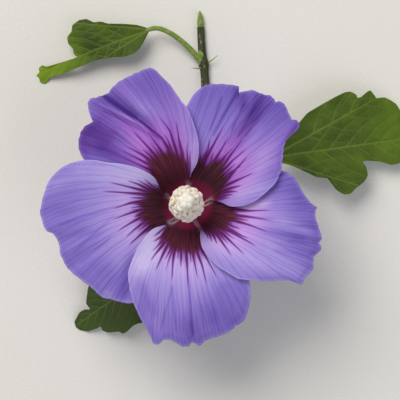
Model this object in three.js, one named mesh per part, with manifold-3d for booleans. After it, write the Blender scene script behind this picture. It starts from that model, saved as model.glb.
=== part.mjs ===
// A cut flowering sprig of rose of sharon (Hibiscus syriacus), lying on a level surface.
// One open bloom faces up from a short stretch of leafy shoot, with the three leaves of that
// stretch. Millimetres, +Z up. +Y runs along the shoot, from its cut end to its tip.

import * as THREE from "three";
import { mergeVertices } from "three/addons/utils/BufferGeometryUtils.js";
import Module from "manifold-3d";

// ---- driving dimensions -------------------------------------------------------------

const GAP = 0.3; // clearance between pieces that touch
const ORIGIN = [16.13, 10.24]; // centre of the sprig's box, measured from the bloom's axis

// The bloom: a funnel of five petals round one column
const RECEPTACLE_Z = 12; // height of the bloom's base above the surface
const THROAT_RADIUS = 2.4; // of the funnel at the receptacle
const FUNNEL_DEPTH = 28; // from the receptacle up to the flat of the petals
const FUNNEL_FLARE = 7.6; // how fast the funnel opens outwards
const BLOOM_LEAN = 4; // degrees by which the bloom leans along the shoot
const PETAL_THICKNESS = 0.5;
const PETAL_TWIST = 1.25; // rise of a petal's clockwise side over its middle
const PETAL_SPACING = 72; // degrees from one petal to the next
const TWIST_STARTS = [3.5, 9]; // radii between which the twist grows
const RIM_FROM = 29; // radius where the rim begins to bend down
const RIM_SPAN = 14;

// A claw is the narrow foot of a petal
const CLAW_START = 2.75; // radius where the claw begins
const CLAW_END = 6.5; // radius where the claw widens into the blade
const CLAW_HALF_WIDTHS = [1.4, 4.0]; // at its start and its end
const CLAW_ROWS = 2;
const BLADE_ROWS = 7;

// A blade's margin: angles at these radii up its clockwise side, then reaches at equal
// steps of angle round the rim, then back down its other side as radius and angle. That
// side is the same on every petal but the left one, whose outer corner shows.
const SIDE_RADII = [8, 10.5, 14, 20, 27];
const RIM_ANGLE = -28;
const RIM_STEP = 6;
const HIDDEN_SIDE = [
  [8, 33],
  [10.5, 41],
  [14, 47],
  [20, 51],
  [27, 50],
];
const WIDE_HIDDEN_SIDE = [
  [8, 33],
  [10.5, 41],
  [14, 47],
  [24, 51],
  [34, 51.5],
];
const PETALS = {
  petal_upper_left: {
    axis: 118,
    side: [-29, -37.5, -41.5, -37.5, -30],
    reach: [29.9, 34.9, 41, 43.9, 43.5, 43.3, 43.3, 43.8, 41.8, 40.1, 38.9, 35.8, 32.5],
    droop: 0.6,
    folds: [
      { near: -0.3, far: 0.04, deep: -2.0, wide: 0.05, from: 20 },
      { near: -0.27, far: 0.13, deep: 1.3, wide: 0.045, from: 18 },
    ],
  },
  petal_upper_right: {
    axis: 46,
    side: [-33, -43, -48.5, -43.5, -33],
    reach: [29.5, 31.5, 34, 42, 41.9, 42.6, 41.8, 40.1, 38.4, 38.4, 37.6, 35.8, 32.5],
    droop: 1.4,
    folds: [
      { near: -0.05, far: 0.01, deep: -1.2, wide: 0.06, from: 20 },
      { near: 0.45, far: 0.13, deep: -1.0, wide: 0.05, from: 26 },
    ],
  },
  petal_right: {
    axis: -26,
    side: [-33, -41, -44.5, -40.5, -30.5],
    reach: [28.4, 31.2, 34.5, 40.9, 42.6, 41.9, 42.4, 41.6, 39.3, 38.2, 35.5, 34.1, 32.9],
    droop: 1.8,
    folds: [
      { near: 0.08, far: 0.03, deep: -0.7, wide: 0.03, from: 24 },
      { near: 0.24, far: 0.1, deep: -0.7, wide: 0.03, from: 24 },
    ],
  },
  petal_bottom: {
    axis: -98,
    side: [-35, -43, -50, -45, -34],
    reach: [31.3, 34.8, 37.4, 41, 43.2, 42.6, 42.8, 42.3, 40.9, 40.3, 39.7, 36.9, 32.5],
    droop: 2.2,
    folds: [
      { near: 0.14, far: 0.03, deep: -1.0, wide: 0.035, from: 24 },
      { near: -0.75, far: -0.2, deep: -0.6, wide: 0.08, from: 22 },
    ],
  },
  petal_left: {
    axis: -170,
    side: [-34, -42, -46.5, -44, -38],
    reach: [39.5, 42.5, 44.2, 45.2, 45.3, 42.5, 41.8, 42.2, 41, 39.7, 38.9, 38.5, 37.2],
    hidden: WIDE_HIDDEN_SIDE,
    droop: 1.2,
    folds: [
      { near: 0.2, far: -0.05, deep: -0.6, wide: 0.06, from: 26 },
      { near: 0.42, far: 0.12, deep: -0.6, wide: 0.06, from: 24 },
    ],
  },
};
const FOLD_RISE = 14; // length over which a fold reaches its depth
const FOLD_NEAR = 22; // radius at which a fold lies at its near share of the width
const FOLD_DRIFT = 8; // and the length over which it settles towards its far share

// The column of joined stamens, and the stigma on top of it
const COLUMN_HEIGHTS = [0.9, 35];
const COLUMN_RADII = [1.8, 1.25];
const COLUMN_BENDS_FROM = 10;
const COLUMN_LEAN = 1.5; // degrees that the column leans over more than the bloom
const COLUMN_LEANS_TO = 135; // and the way it leans, in degrees from +X
const ANTHER_BANDS = [
  [16, 2.6],
  [19, 3.9],
  [22, 5.0],
  [25, 5.5],
  [28, 5.3],
  [31, 4.4],
  [34, 2.9],
]; // height and radius of the mass of anthers
const ANTHER_LUMPS = 0.28; // how far the mass swells and sinks
const ANTHER_LUMP_WAVES = [5, 2]; // lumps round the column, and the slower wave that mixes them
const ANTHER_LUMP_TURN = 1.7; // radians by which the slower wave turns for each mm up
const ANTHER_SIDES = 18;
const COLUMN_SIDES = 12;
const COLUMN_STEPS = 10;
const STIGMA_HEIGHT = 2.6;
const STIGMA_RADIUS = 2;
const STIGMA_PROFILE = [0.55, 0.95, 1, 0.72, 0.3]; // shares of its radius, from foot to top
const STIGMA_SIDES = 10;
const STIGMA_LUMPS = 0.12;

// The calyx is a cup with five teeth, and the epicalyx a ring of narrow bracts under it
const CALYX_WALL = 0.8;
const CALYX_CLEARANCE = [0.95, 0.036]; // from the claws: at the floor, and more per mm up
const CALYX_FLOOR = 0.2;
const CALYX_FOOT = -1.8;
const CALYX_FOOT_RADIUS = 2.1;
const CALYX_SINUS = 9; // height of the cup between two teeth
const CALYX_TOOTH = 7.5; // height of a tooth over that
const CALYX_TOOTH_POINT = 0.85; // below 1 a tooth has full sides and a short point
const CALYX_BEVEL = 0.15; // the inner edge of the rim is lower by this
const CALYX_SIDES = 25;
const CALYX_ROWS = 4;
const CALYX_ROOM_TOP = 7; // height up to which the bracts keep clear of the cup
const BRACT_COUNT = 7;
const BRACT_TURN = 0.2; // share of the spacing by which the first one is turned
const BRACT_TAPER = 0.75; // share of its width that a bract loses towards its tip
const BRACT_STEPS = 7;
const BRACT_WIDTH = 1.3;
const BRACT_THICKNESS = 0.5;
const BRACT_PATH = [
  [2.2, -0.9],
  [6.2, 0.4],
  [8.9, 3.4],
  [10.4, 7.2],
  [10.8, 10.5],
]; // radius and height

// The shoot lies on the surface. Its axis, from the cut end to the tip, and its radii
const SHOOT_PATH = [
  [5.6, -43.5],
  [5.6, -26],
  [5.7, -10.4],
  [5.8, 10],
  [5.4, 39.5],
  [4.4, 49.5],
  [3.9, 58.5],
];
const SHOOT_RADII = [1.75, 1.2]; // at the cut end and the tip
const SHOOT_SIDES = 10;
const SHOOT_STEPS = 30;
const SHOOT_TAPER = 1.6;
const NODE_SWELLING = 0.45;
const NODE_LENGTH = 1.6; // half the length of the swelling at a node
const NODES = { lower: -10.4, middle: 11, upper: 46.6 }; // where each leaf joins, along Y
const TIP_BUD_LENGTH = 5.2;
const TIP_BUD_RADIUS = 1.1;
const BUD_PROFILE = [0.3, 0.94]; // stretch of a half wave that a bud's outline follows
const BUD_FULLNESS = 0.8;

const PEDICEL_RADII = [1.35, 1.15];
const PEDICEL_STEPS = 10;
const PEDICEL_SIDES = 10;
const PEDICEL_RISE = [
  [5.2, -8.6, 2.4],
  [3.7, -7.0, 5.6],
  [1.4, -3.6, 8.2],
  [0, -2.05, 10.6],
];

// Leaves: three-lobed, coarsely toothed, with a wedge-shaped base. An outline goes from the
// right of the base, round the tip and back to the left, as distance along and across the midrib.
const LEAF_THICKNESS = 0.45;
const LEAF_ROWS = 4;
const LEAF_BASE_HALF_WIDTH = 0.7;
const LEAF_FALL = 1.4; // above 1 a blade stays high near its base and falls towards its tip
const LEAVES = {
  leaf_right: {
    node: "middle",
    bud: true,
    base: [26.5, 15.2],
    heading: 8,
    heights: [7, 3.2, 0.3], // of the base, of the arch over it, and of the tip
    keel: 0.1,
    outline: [
      [1.5, -1.6],
      [9.2, -5.3],
      [13.6, -8.6],
      [18.4, -9.9],
      [22.1, -14.7],
      [25, -14.2],
      [27.6, -11.6],
      [29.9, -8.3],
      [29.2, -5.9],
      [36.8, -7.4],
      [41.9, -8.2],
      [47.6, -7.8],
      [52.3, -4.4],
      [56.5, 0],
      [53.2, 3.6],
      [49.5, 6.7],
      [45.6, 8],
      [43.6, 10.2],
      [40, 14.4],
      [35.9, 16.3],
      [29, 14],
      [27.1, 16.2],
      [25.4, 16.5],
      [16.6, 12.7],
      [10, 7.7],
      [1.5, 1.8],
    ],
  },
  leaf_lower: {
    node: "lower",
    base: [-7.8, -18.9],
    heading: 215.6,
    heights: [6, 2.2, 0.3],
    keel: 0.08,
    outline: [
      [1.2, -1.2],
      [7, -5.2],
      [12.5, -8.8],
      [17.2, -12.4],
      [20, -11.4],
      [23.5, -7.9],
      [27.6, -5.3],
      [29.3, -2.9],
      [28.7, -1.6],
      [34, -1.9],
      [36.7, 0.2],
      [36, 2.7],
      [32.6, 4.6],
      [29, 4.7],
      [29.7, 6.8],
      [27.6, 8.9],
      [24, 9.4],
      [20.5, 11.4],
      [17.3, 15.2],
      [14.8, 16.6],
      [11.9, 14.8],
      [6.5, 8.6],
      [1.2, 1.4],
    ],
  },
  leaf_upper: {
    node: "upper",
    bud: true,
    base: [-12.8, 57.2],
    heading: 200.6,
    heights: [5.4, 2, 0.3],
    keel: 0.1,
    outline: [
      [1.2, -1.2],
      [7.5, -4.6],
      [14, -7.4],
      [19.6, -10.6],
      [24, -9.6],
      [26.4, -5.4],
      [25.6, -1.6],
      [24.9, 0.6],
      [31.7, 0.4],
      [37.6, -0.9],
      [40.4, 1.2],
      [39.2, 4.1],
      [36.5, 3.9],
      [34.4, 4.2],
      [28, 4.5],
      [23.6, 4.4],
      [21.4, 5.6],
      [18.6, 5.2],
      [13.6, 5.6],
      [8.6, 4.8],
      [1.2, 1.3],
    ],
  },
};
const PETIOLE_RADII = [1.0, 0.75];
const PETIOLE_STEPS = 10;
const PETIOLE_SIDES = 8;
const PETIOLE_END_GAP = 0.4; // from the blade's base, along the leaf
const PETIOLE_APPROACH = [5, -0.8]; // the last stretch: its length, and how much lower it starts
const PETIOLE_SHOULDER = [0, 1.5, 1.6]; // how the first stretch bulges up out of the shoot
const PETIOLE_SHOULDER_AT = 0.35;

// Buds in the leaf axils, and the thread-like stipules on both sides of each node. Each has its
// distance along the shoot from its leaf, its angle from straight on and its rise, in degrees.
const BUD_LENGTH = 3.2;
const BUD_RADIUS = 1;
const BUD_PLACE = { ahead: 1.4, angle: 24, rise: 30 };
const STIPULE_LENGTH = 5.4;
const STIPULE_RADIUS = 0.36;
const STIPULE_TAPER = 0.7;
const OUTER_STIPULE_PLACE = { ahead: -0.8, angle: 58, rise: 12 };
const INNER_STIPULE_PLACE = { ahead: -1.6, angle: 40, rise: 42 }; // its angle is from the petiole
const OUTGROWTH_STEPS = 6;
const OUTGROWTH_SIDES = 6;

// ---- colours ------------------------------------------------------------------------

const petalColour = new THREE.MeshStandardMaterial({ color: 0x9079cf, roughness: 0.75 });
const stamenColour = new THREE.MeshStandardMaterial({ color: 0xede4c8, roughness: 0.8 });
const stigmaColour = new THREE.MeshStandardMaterial({ color: 0xf7f4e8, roughness: 0.7 });
const calyxColour = new THREE.MeshStandardMaterial({ color: 0x7d9a55, roughness: 0.8 });
const leafColour = new THREE.MeshStandardMaterial({ color: 0x6f9440, roughness: 0.6 });
const shootColour = new THREE.MeshStandardMaterial({ color: 0x66763f, roughness: 0.7 });

const MERGE_DISTANCE = 1e-4; // vertices nearer than this are one
const HALVINGS = 40; // steps in which a place on the shoot is found

const wasm = await Module();
wasm.setup();

// ---- small tools --------------------------------------------------------------------

const degrees = THREE.MathUtils.degToRad;
const toDegrees = THREE.MathUtils.radToDeg;
const { lerp, smoothstep, clamp } = THREE.MathUtils;

// The point at angle a (degrees) and distance r, in the plane.
function polar(r, a) {
  return [r * Math.cos(degrees(a)), r * Math.sin(degrees(a))];
}

// A smooth curve through points in space.
function curveThrough(points) {
  return new THREE.CatmullRomCurve3(points.map((p) => new THREE.Vector3(...p)));
}

// A closed mesh from rows of rings: each row is a ring of points, and both ends are capped.
function tubeOfRings(rings) {
  const sides = rings[0].length;
  const faces = [];
  const last = rings.length - 1;
  const at = (row, k) => row * sides + ((k + sides) % sides);
  for (let row = 0; row < last; row++)
    for (let k = 0; k < sides; k++) {
      faces.push([at(row, k), at(row, k + 1), at(row + 1, k + 1)]);
      faces.push([at(row, k), at(row + 1, k + 1), at(row + 1, k)]);
    }
  for (let k = 1; k < sides - 1; k++) {
    faces.push([at(0, 0), at(0, k + 1), at(0, k)]);
    faces.push([at(last, 0), at(last, k), at(last, k + 1)]);
  }
  return geometryOf(rings.flat(), faces);
}

// A closed thin blade: a grid of points, grid[row][column], given thickness on both sides.
function bladeOfGrid(grid, thickness) {
  const rows = grid.length;
  const columns = grid[0].length;
  const points = grid.map((row) => row.map((p) => new THREE.Vector3(...p)));
  const upper = [];
  const lower = [];
  for (let i = 0; i < rows; i++)
    for (let j = 0; j < columns; j++) {
      const alongRow = points[i][Math.min(j + 1, columns - 1)]
        .clone()
        .sub(points[i][Math.max(j - 1, 0)]);
      const upRows = points[Math.min(i + 1, rows - 1)][j]
        .clone()
        .sub(points[Math.max(i - 1, 0)][j]);
      const normal = alongRow.cross(upRows).normalize();
      upper.push(points[i][j].clone().addScaledVector(normal, thickness / 2).toArray());
      lower.push(points[i][j].clone().addScaledVector(normal, -thickness / 2).toArray());
    }
  const under = rows * columns;
  const at = (i, j) => i * columns + j;
  const faces = [];
  for (let i = 0; i < rows - 1; i++)
    for (let j = 0; j < columns - 1; j++) {
      const [a, b, c, d] = [at(i, j), at(i, j + 1), at(i + 1, j + 1), at(i + 1, j)];
      faces.push([a, b, c], [a, c, d]);
      faces.push([under + a, under + c, under + b], [under + a, under + d, under + c]);
    }
  const rim = [];
  for (let j = 0; j < columns - 1; j++) rim.push(at(0, j));
  for (let i = 0; i < rows - 1; i++) rim.push(at(i, columns - 1));
  for (let j = columns - 1; j > 0; j--) rim.push(at(rows - 1, j));
  for (let i = rows - 1; i > 0; i--) rim.push(at(i, 0));
  rim.forEach((a, k) => {
    const b = rim[(k + 1) % rim.length];
    faces.push([a, under + a, under + b], [a, under + b, b]);
  });
  return geometryOf([...upper, ...lower], faces);
}

function geometryOf(points, faces) {
  return new THREE.BufferGeometry()
    .setAttribute("position", new THREE.Float32BufferAttribute(points.flat(), 3))
    .setIndex(faces.flat());
}

function solidOf(geometry) {
  const bare = geometry.clone();
  for (const name of ["normal", "uv"]) bare.deleteAttribute(name);
  const merged = mergeVertices(bare, MERGE_DISTANCE);
  return new wasm.Manifold(
    new wasm.Mesh({
      numProp: 3,
      vertProperties: merged.attributes.position.array,
      triVerts: new Uint32Array(merged.index.array),
    }),
  );
}

// A geometry with the room that its carriers need cut away. The largest body is kept.
function seated(geometry, ...carriers) {
  let left = solidOf(geometry);
  for (const carrier of carriers) left = left.subtract(solidOf(carrier));
  const largest = left.decompose().sort((a, b) => b.volume() - a.volume())[0];
  const mesh = largest.getMesh();
  return new THREE.BufferGeometry()
    .setAttribute("position", new THREE.BufferAttribute(mesh.vertProperties, 3))
    .setIndex(new THREE.BufferAttribute(mesh.triVerts, 1));
}

// A round tube along a curve, its radius a function of the share of its length.
function tubeAlong(curve, radiusAt, steps, sides) {
  const frames = curve.computeFrenetFrames(steps, false);
  const rings = [];
  for (let i = 0; i <= steps; i++) {
    const centre = curve.getPointAt(i / steps);
    const ring = [];
    for (let k = 0; k < sides; k++) {
      const a = (2 * Math.PI * k) / sides;
      ring.push(
        centre
          .clone()
          .addScaledVector(frames.normals[i], radiusAt(i / steps) * Math.cos(a))
          .addScaledVector(frames.binormals[i], radiusAt(i / steps) * Math.sin(a))
          .toArray(),
      );
    }
    rings.push(ring);
  }
  return tubeOfRings(rings);
}

// ---- the bloom ----------------------------------------------------------------------

// The bloom's own height to the sprig's: the whole bloom leans along the shoot.
function leanBloom([x, y, z], extra = 0) {
  const more = polar(Math.max(0, z - COLUMN_BENDS_FROM) * extra, COLUMN_LEANS_TO);
  const lean = (z - FUNNEL_DEPTH) * Math.tan(degrees(BLOOM_LEAN));
  return [x + more[0], y + lean + more[1], z + RECEPTACLE_Z];
}

function funnelHeight(r) {
  return FUNNEL_DEPTH * (1 - Math.exp(-(r - THROAT_RADIUS) / FUNNEL_FLARE));
}

function funnelRadius(z) {
  return THROAT_RADIUS - FUNNEL_FLARE * Math.log(1 - z / FUNNEL_DEPTH);
}

// Height of a petal at radius r, angle a from its axis and share u across its veins.
function petalHeight(petal, r, a, u) {
  const twist = smoothstep(r, ...TWIST_STARTS) * PETAL_TWIST * (a / (PETAL_SPACING / 2));
  const rim = petal.droop * (Math.max(0, r - RIM_FROM) / RIM_SPAN) ** 2;
  let height = funnelHeight(r) - twist - rim;
  for (const fold of petal.folds) {
    const at = lerp(fold.far, fold.near, Math.exp(-(r - FOLD_NEAR) / FOLD_DRIFT));
    const across = Math.exp(-(((u - at) / fold.wide) ** 2));
    height += fold.deep * across * smoothstep(r, fold.from, fold.from + FOLD_RISE);
  }
  return height;
}

function petalMargin(petal) {
  const side = SIDE_RADII.map((r, i) => polar(r, petal.side[i]));
  const rim = petal.reach.map((r, i) => polar(r, RIM_ANGLE + i * RIM_STEP));
  const hidden = (petal.hidden ?? HIDDEN_SIDE).map(([r, a]) => polar(r, a)).reverse();
  return [...side, ...rim, ...hidden];
}

function petalGeometry(petal) {
  const margin = petalMargin(petal);
  const columns = margin.map((end, j) => {
    const u = -1 + (2 * j) / (margin.length - 1);
    const line = [];
    for (let i = 0; i < CLAW_ROWS; i++) {
      const s = lerp(CLAW_START, CLAW_END, i / CLAW_ROWS);
      const half = lerp(...CLAW_HALF_WIDTHS, i / CLAW_ROWS);
      line.push([s, half * u]);
    }
    // A vein leaves the claw along the petal's axis and curves out to the margin.
    const foot = [CLAW_END, CLAW_HALF_WIDTHS[1] * u];
    const reach = Math.hypot(...end);
    const middle = [CLAW_END + (reach - CLAW_END) / 2, CLAW_HALF_WIDTHS[1] * u];
    const vein = new THREE.QuadraticBezierCurve(
      new THREE.Vector2(...foot),
      new THREE.Vector2(...middle),
      new THREE.Vector2(...end),
    );
    for (let i = 0; i <= BLADE_ROWS; i++) line.push(vein.getPoint(i / BLADE_ROWS).toArray());
    return line.map(([s, t]) => {
      const r = Math.hypot(s, t);
      const a = toDegrees(Math.atan2(t, s));
      const [x, y] = polar(r, a + petal.axis);
      return leanBloom([x, y, petalHeight(petal, r, a, u)]);
    });
  });
  const grid = columns[0].map((_, i) => columns.map((line) => line[i]));
  return bladeOfGrid(grid, PETAL_THICKNESS);
}

const columnSlope = Math.tan(degrees(COLUMN_LEAN));

function columnRadius(z) {
  const [low, high] = COLUMN_HEIGHTS;
  return lerp(...COLUMN_RADII, (z - low) / (high - low));
}

// A ring of points round the column at height z.
function columnRing(z, radius, sides, lumps = 0) {
  const [quick, slow] = ANTHER_LUMP_WAVES;
  return Array.from({ length: sides }, (_, k) => {
    const a = (360 * k) / sides;
    const mix = Math.cos(degrees(slow * a) - ANTHER_LUMP_TURN * z);
    const swell = lumps * Math.sin(degrees(quick * a) + z) * mix;
    return leanBloom([...polar(radius + swell, a), z], columnSlope);
  });
}

function columnGeometry() {
  const rings = [];
  for (let i = 0; i <= COLUMN_STEPS; i++) {
    const z = lerp(...COLUMN_HEIGHTS, i / COLUMN_STEPS);
    rings.push(columnRing(z, columnRadius(z), COLUMN_SIDES));
  }
  return tubeOfRings(rings);
}

// The anthers stand round the column: a closed sleeve with a lumpy outside.
function antherGeometry() {
  const sides = ANTHER_SIDES;
  const ends = [ANTHER_BANDS.at(-1)[0], ANTHER_BANDS[0][0]];
  const inner = ends.map((z) => columnRing(z, columnRadius(z) + GAP, sides));
  const outer = ANTHER_BANDS.map(([z, r]) => columnRing(z, r, sides, ANTHER_LUMPS));
  const rings = [...outer, ...inner];
  const faces = [];
  const at = (row, k) => (row % rings.length) * sides + (k % sides);
  for (let row = 0; row < rings.length; row++)
    for (let k = 0; k < sides; k++) {
      faces.push([at(row, k), at(row, k + 1), at(row + 1, k + 1)]);
      faces.push([at(row, k), at(row + 1, k + 1), at(row + 1, k)]);
    }
  return geometryOf(rings.flat(), faces);
}

function stigmaGeometry() {
  const foot = COLUMN_HEIGHTS[1] + GAP;
  const rise = STIGMA_HEIGHT / (STIGMA_PROFILE.length - 1);
  const rings = STIGMA_PROFILE.map((share, i) =>
    columnRing(foot + rise * i, STIGMA_RADIUS * share, STIGMA_SIDES, STIGMA_LUMPS),
  );
  return tubeOfRings(rings);
}

// Radius of the calyx's outside at height z, with room added round it.
function calyxRadius(z, room = 0) {
  if (z < 0) return lerp(CALYX_FOOT_RADIUS, calyxRadius(0), 1 - z / CALYX_FOOT) + room;
  return funnelRadius(z) + CALYX_CLEARANCE[0] + CALYX_CLEARANCE[1] * z + CALYX_WALL + room;
}

// Height of the calyx's rim: five teeth, each between two petals.
function calyxTop(angle) {
  const turn = (((angle - PETALS.petal_upper_left.axis) / PETAL_SPACING) % 1) + 1;
  const tooth = 1 - Math.abs(2 * (turn % 1) - 1);
  return CALYX_SINUS + CALYX_TOOTH * tooth ** CALYX_TOOTH_POINT;
}

function calyxGeometry() {
  const rings = [];
  const angles = Array.from({ length: CALYX_SIDES }, (_, k) => (360 * k) / CALYX_SIDES);
  const ring = (heightAt, wall) =>
    angles.map((a) => {
      const z = heightAt(a);
      return leanBloom([...polar(calyxRadius(z) - wall, a), z]);
    });
  rings.push(ring(() => CALYX_FOOT, 0));
  for (let i = 0; i <= CALYX_ROWS; i++)
    rings.push(ring((a) => lerp(0, calyxTop(a), i / CALYX_ROWS), 0));
  for (let i = CALYX_ROWS; i >= 0; i--)
    rings.push(
      ring((a) => lerp(CALYX_FLOOR, calyxTop(a) - CALYX_BEVEL, i / CALYX_ROWS), CALYX_WALL),
    );
  return tubeOfRings(rings);
}

// The calyx's room: its outside, filled, and larger by the gap.
function calyxRoom() {
  const above = [0, 0.3, 0.6, 1].map((share) => share * CALYX_ROOM_TOP);
  const heights = [CALYX_FOOT - GAP, ...above];
  return tubeOfRings(
    heights.map((z) =>
      Array.from({ length: CALYX_SIDES }, (_, k) =>
        leanBloom([...polar(calyxRadius(z, GAP), (360 * k) / CALYX_SIDES), z]),
      ),
    ),
  );
}

function bractGeometry(angle) {
  const path = curveThrough(BRACT_PATH.map(([r, z]) => [r, 0, z]));
  const grid = [];
  for (let i = 0; i <= BRACT_STEPS; i++) {
    const share = i / BRACT_STEPS;
    const centre = path.getPoint(share);
    const half = (BRACT_WIDTH / 2) * (1 - BRACT_TAPER * share ** 2);
    grid.push(
      [-1, 1].map((side) => {
        const across = toDegrees(Math.atan2(side * half, centre.x));
        const [x, y] = polar(Math.hypot(side * half, centre.x), angle + across);
        return leanBloom([x, y, centre.z]);
      }),
    );
  }
  return seated(bladeOfGrid(grid, BRACT_THICKNESS), calyxRoom());
}

// ---- the shoot ----------------------------------------------------------------------

const shootCurve = curveThrough(SHOOT_PATH.map(([x, y]) => [x, y, 0]));

// The axis lies as high as the shoot's flat underside needs, so that all of it rests.
function shootCentre(share) {
  const centre = shootCurve.getPointAt(share);
  centre.z = shootTaper(share) * Math.cos(Math.PI / SHOOT_SIDES);
  return centre;
}

function shootPoint(y) {
  let [low, high] = [0, 1];
  for (let i = 0; i < HALVINGS; i++) {
    const middle = (low + high) / 2;
    if (shootCurve.getPointAt(middle).y < y) low = middle;
    else high = middle;
  }
  return shootCentre(low);
}

function shootTaper(share) {
  return lerp(...SHOOT_RADII, share ** SHOOT_TAPER);
}

function shootRadius(share) {
  const y = shootCurve.getPointAt(share).y;
  const swell = Object.values(NODES).map((at) => Math.exp(-(((y - at) / NODE_LENGTH) ** 2)));
  return shootTaper(share) + NODE_SWELLING * Math.max(...swell);
}

// The shoot's sides are laid out so that a flat one is underneath, level on the surface.
function shootGeometry(room = 0) {
  const rings = [];
  for (let i = 0; i <= SHOOT_STEPS; i++) {
    const share = i / SHOOT_STEPS;
    const centre = shootCentre(share);
    const radius = shootRadius(share) + room;
    const across = new THREE.Vector3(0, 0, 1).cross(shootCurve.getTangentAt(share)).normalize();
    const ring = [];
    for (let k = 0; k < SHOOT_SIDES; k++) {
      const a = (2 * Math.PI * (k + 0.5)) / SHOOT_SIDES - Math.PI / 2;
      const height = Math.max(centre.z + radius * Math.sin(a), -room);
      ring.push([
        centre.x + across.x * radius * Math.cos(a),
        centre.y + across.y * radius * Math.cos(a),
        height,
      ]);
    }
    rings.push(ring);
  }
  return tubeOfRings(rings);
}

const shootRoom = shootGeometry(GAP);

function tipBudGeometry() {
  const foot = shootCentre(1);
  const heading = shootCurve.getTangentAt(1);
  const path = new THREE.LineCurve3(
    foot.clone().addScaledVector(heading, GAP),
    foot.clone().addScaledVector(heading, GAP + TIP_BUD_LENGTH),
  );
  return tubeAlong(path, (share) => TIP_BUD_RADIUS * budSwell(share), OUTGROWTH_STEPS, SHOOT_SIDES);
}

// A bud or stipule that leaves the shoot beside a leaf, on the given side (-1 or 1).
function nodeOutgrowth(leaf, side, place, length, radiusAt) {
  const foot = shootPoint(NODES[leaf.node] + place.ahead);
  const direction = new THREE.Vector3(
    side * Math.sin(degrees(place.angle)),
    Math.cos(degrees(place.angle)),
    Math.tan(degrees(place.rise)),
  ).normalize();
  const path = new THREE.LineCurve3(foot, foot.clone().addScaledVector(direction, length));
  const tube = tubeAlong(path, radiusAt, OUTGROWTH_STEPS, OUTGROWTH_SIDES);
  return seated(tube, shootRoom, petioleTube(leaf, GAP), pedicelTube(GAP));
}

function pedicelTube(room = 0) {
  const radiusAt = (share) => lerp(...PEDICEL_RADII, share) + room;
  return tubeAlong(curveThrough(PEDICEL_RISE), radiusAt, PEDICEL_STEPS, PEDICEL_SIDES);
}

// A bud is full near its foot and ends in a blunt tip.
function budSwell(share) {
  return Math.sin(Math.PI * lerp(...BUD_PROFILE, share)) ** BUD_FULLNESS;
}

function budRadius(share) {
  return BUD_RADIUS * budSwell(share);
}

function stipuleRadius(share) {
  return STIPULE_RADIUS * (1 - STIPULE_TAPER * share);
}

// ---- leaves -------------------------------------------------------------------------

// From distance along and across the midrib to a point of the sprig.
function leafPoint(leaf, along, across) {
  const length = Math.max(...leaf.outline.map(([s]) => s));
  const [base, arch, tip] = leaf.heights;
  const share = clamp(along / length, 0, 1);
  const midrib = lerp(base, tip, share ** LEAF_FALL) + arch * Math.sin(Math.PI * share);
  const height = midrib + leaf.keel * Math.abs(across) * (1 - share);
  const turn = toDegrees(Math.atan2(across, along));
  const [dx, dy] = polar(Math.hypot(along, across), leaf.heading + turn);
  return [leaf.base[0] + dx, leaf.base[1] + dy, height];
}

function leafGeometry(leaf) {
  const grid = [];
  for (let i = 0; i <= LEAF_ROWS; i++)
    grid.push(
      leaf.outline.map(([s, t], j) => {
        const u = -1 + (2 * j) / (leaf.outline.length - 1);
        return leafPoint(
          leaf,
          lerp(0, s, i / LEAF_ROWS),
          lerp(LEAF_BASE_HALF_WIDTH * u, t, i / LEAF_ROWS),
        );
      }),
    );
  return bladeOfGrid(grid, LEAF_THICKNESS);
}

function petioleTube(leaf, room = 0) {
  const foot = shootPoint(NODES[leaf.node] - PETIOLE_RADII[0]);
  const heading = new THREE.Vector3(...polar(1, leaf.heading), 0);
  const blade = new THREE.Vector3(...leaf.base, leaf.heights[0]);
  const end = blade.addScaledVector(heading, -PETIOLE_END_GAP);
  const [approach, dip] = PETIOLE_APPROACH;
  const before = end.clone().addScaledVector(heading, -approach);
  before.z += dip;
  const shoulder = foot.clone().lerp(before, PETIOLE_SHOULDER_AT);
  shoulder.add(new THREE.Vector3(...PETIOLE_SHOULDER));
  const path = new THREE.CubicBezierCurve3(foot, shoulder, before, end);
  const radiusAt = (share) => lerp(...PETIOLE_RADII, share) + room;
  return tubeAlong(path, radiusAt, PETIOLE_STEPS, PETIOLE_SIDES);
}

// ---- the sprig ----------------------------------------------------------------------

const sprig = new THREE.Group();
sprig.position.set(-ORIGIN[0], -ORIGIN[1], 0);

function add(name, geometry, material) {
  const mesh = new THREE.Mesh(geometry, material);
  mesh.name = name;
  sprig.add(mesh);
}

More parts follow.
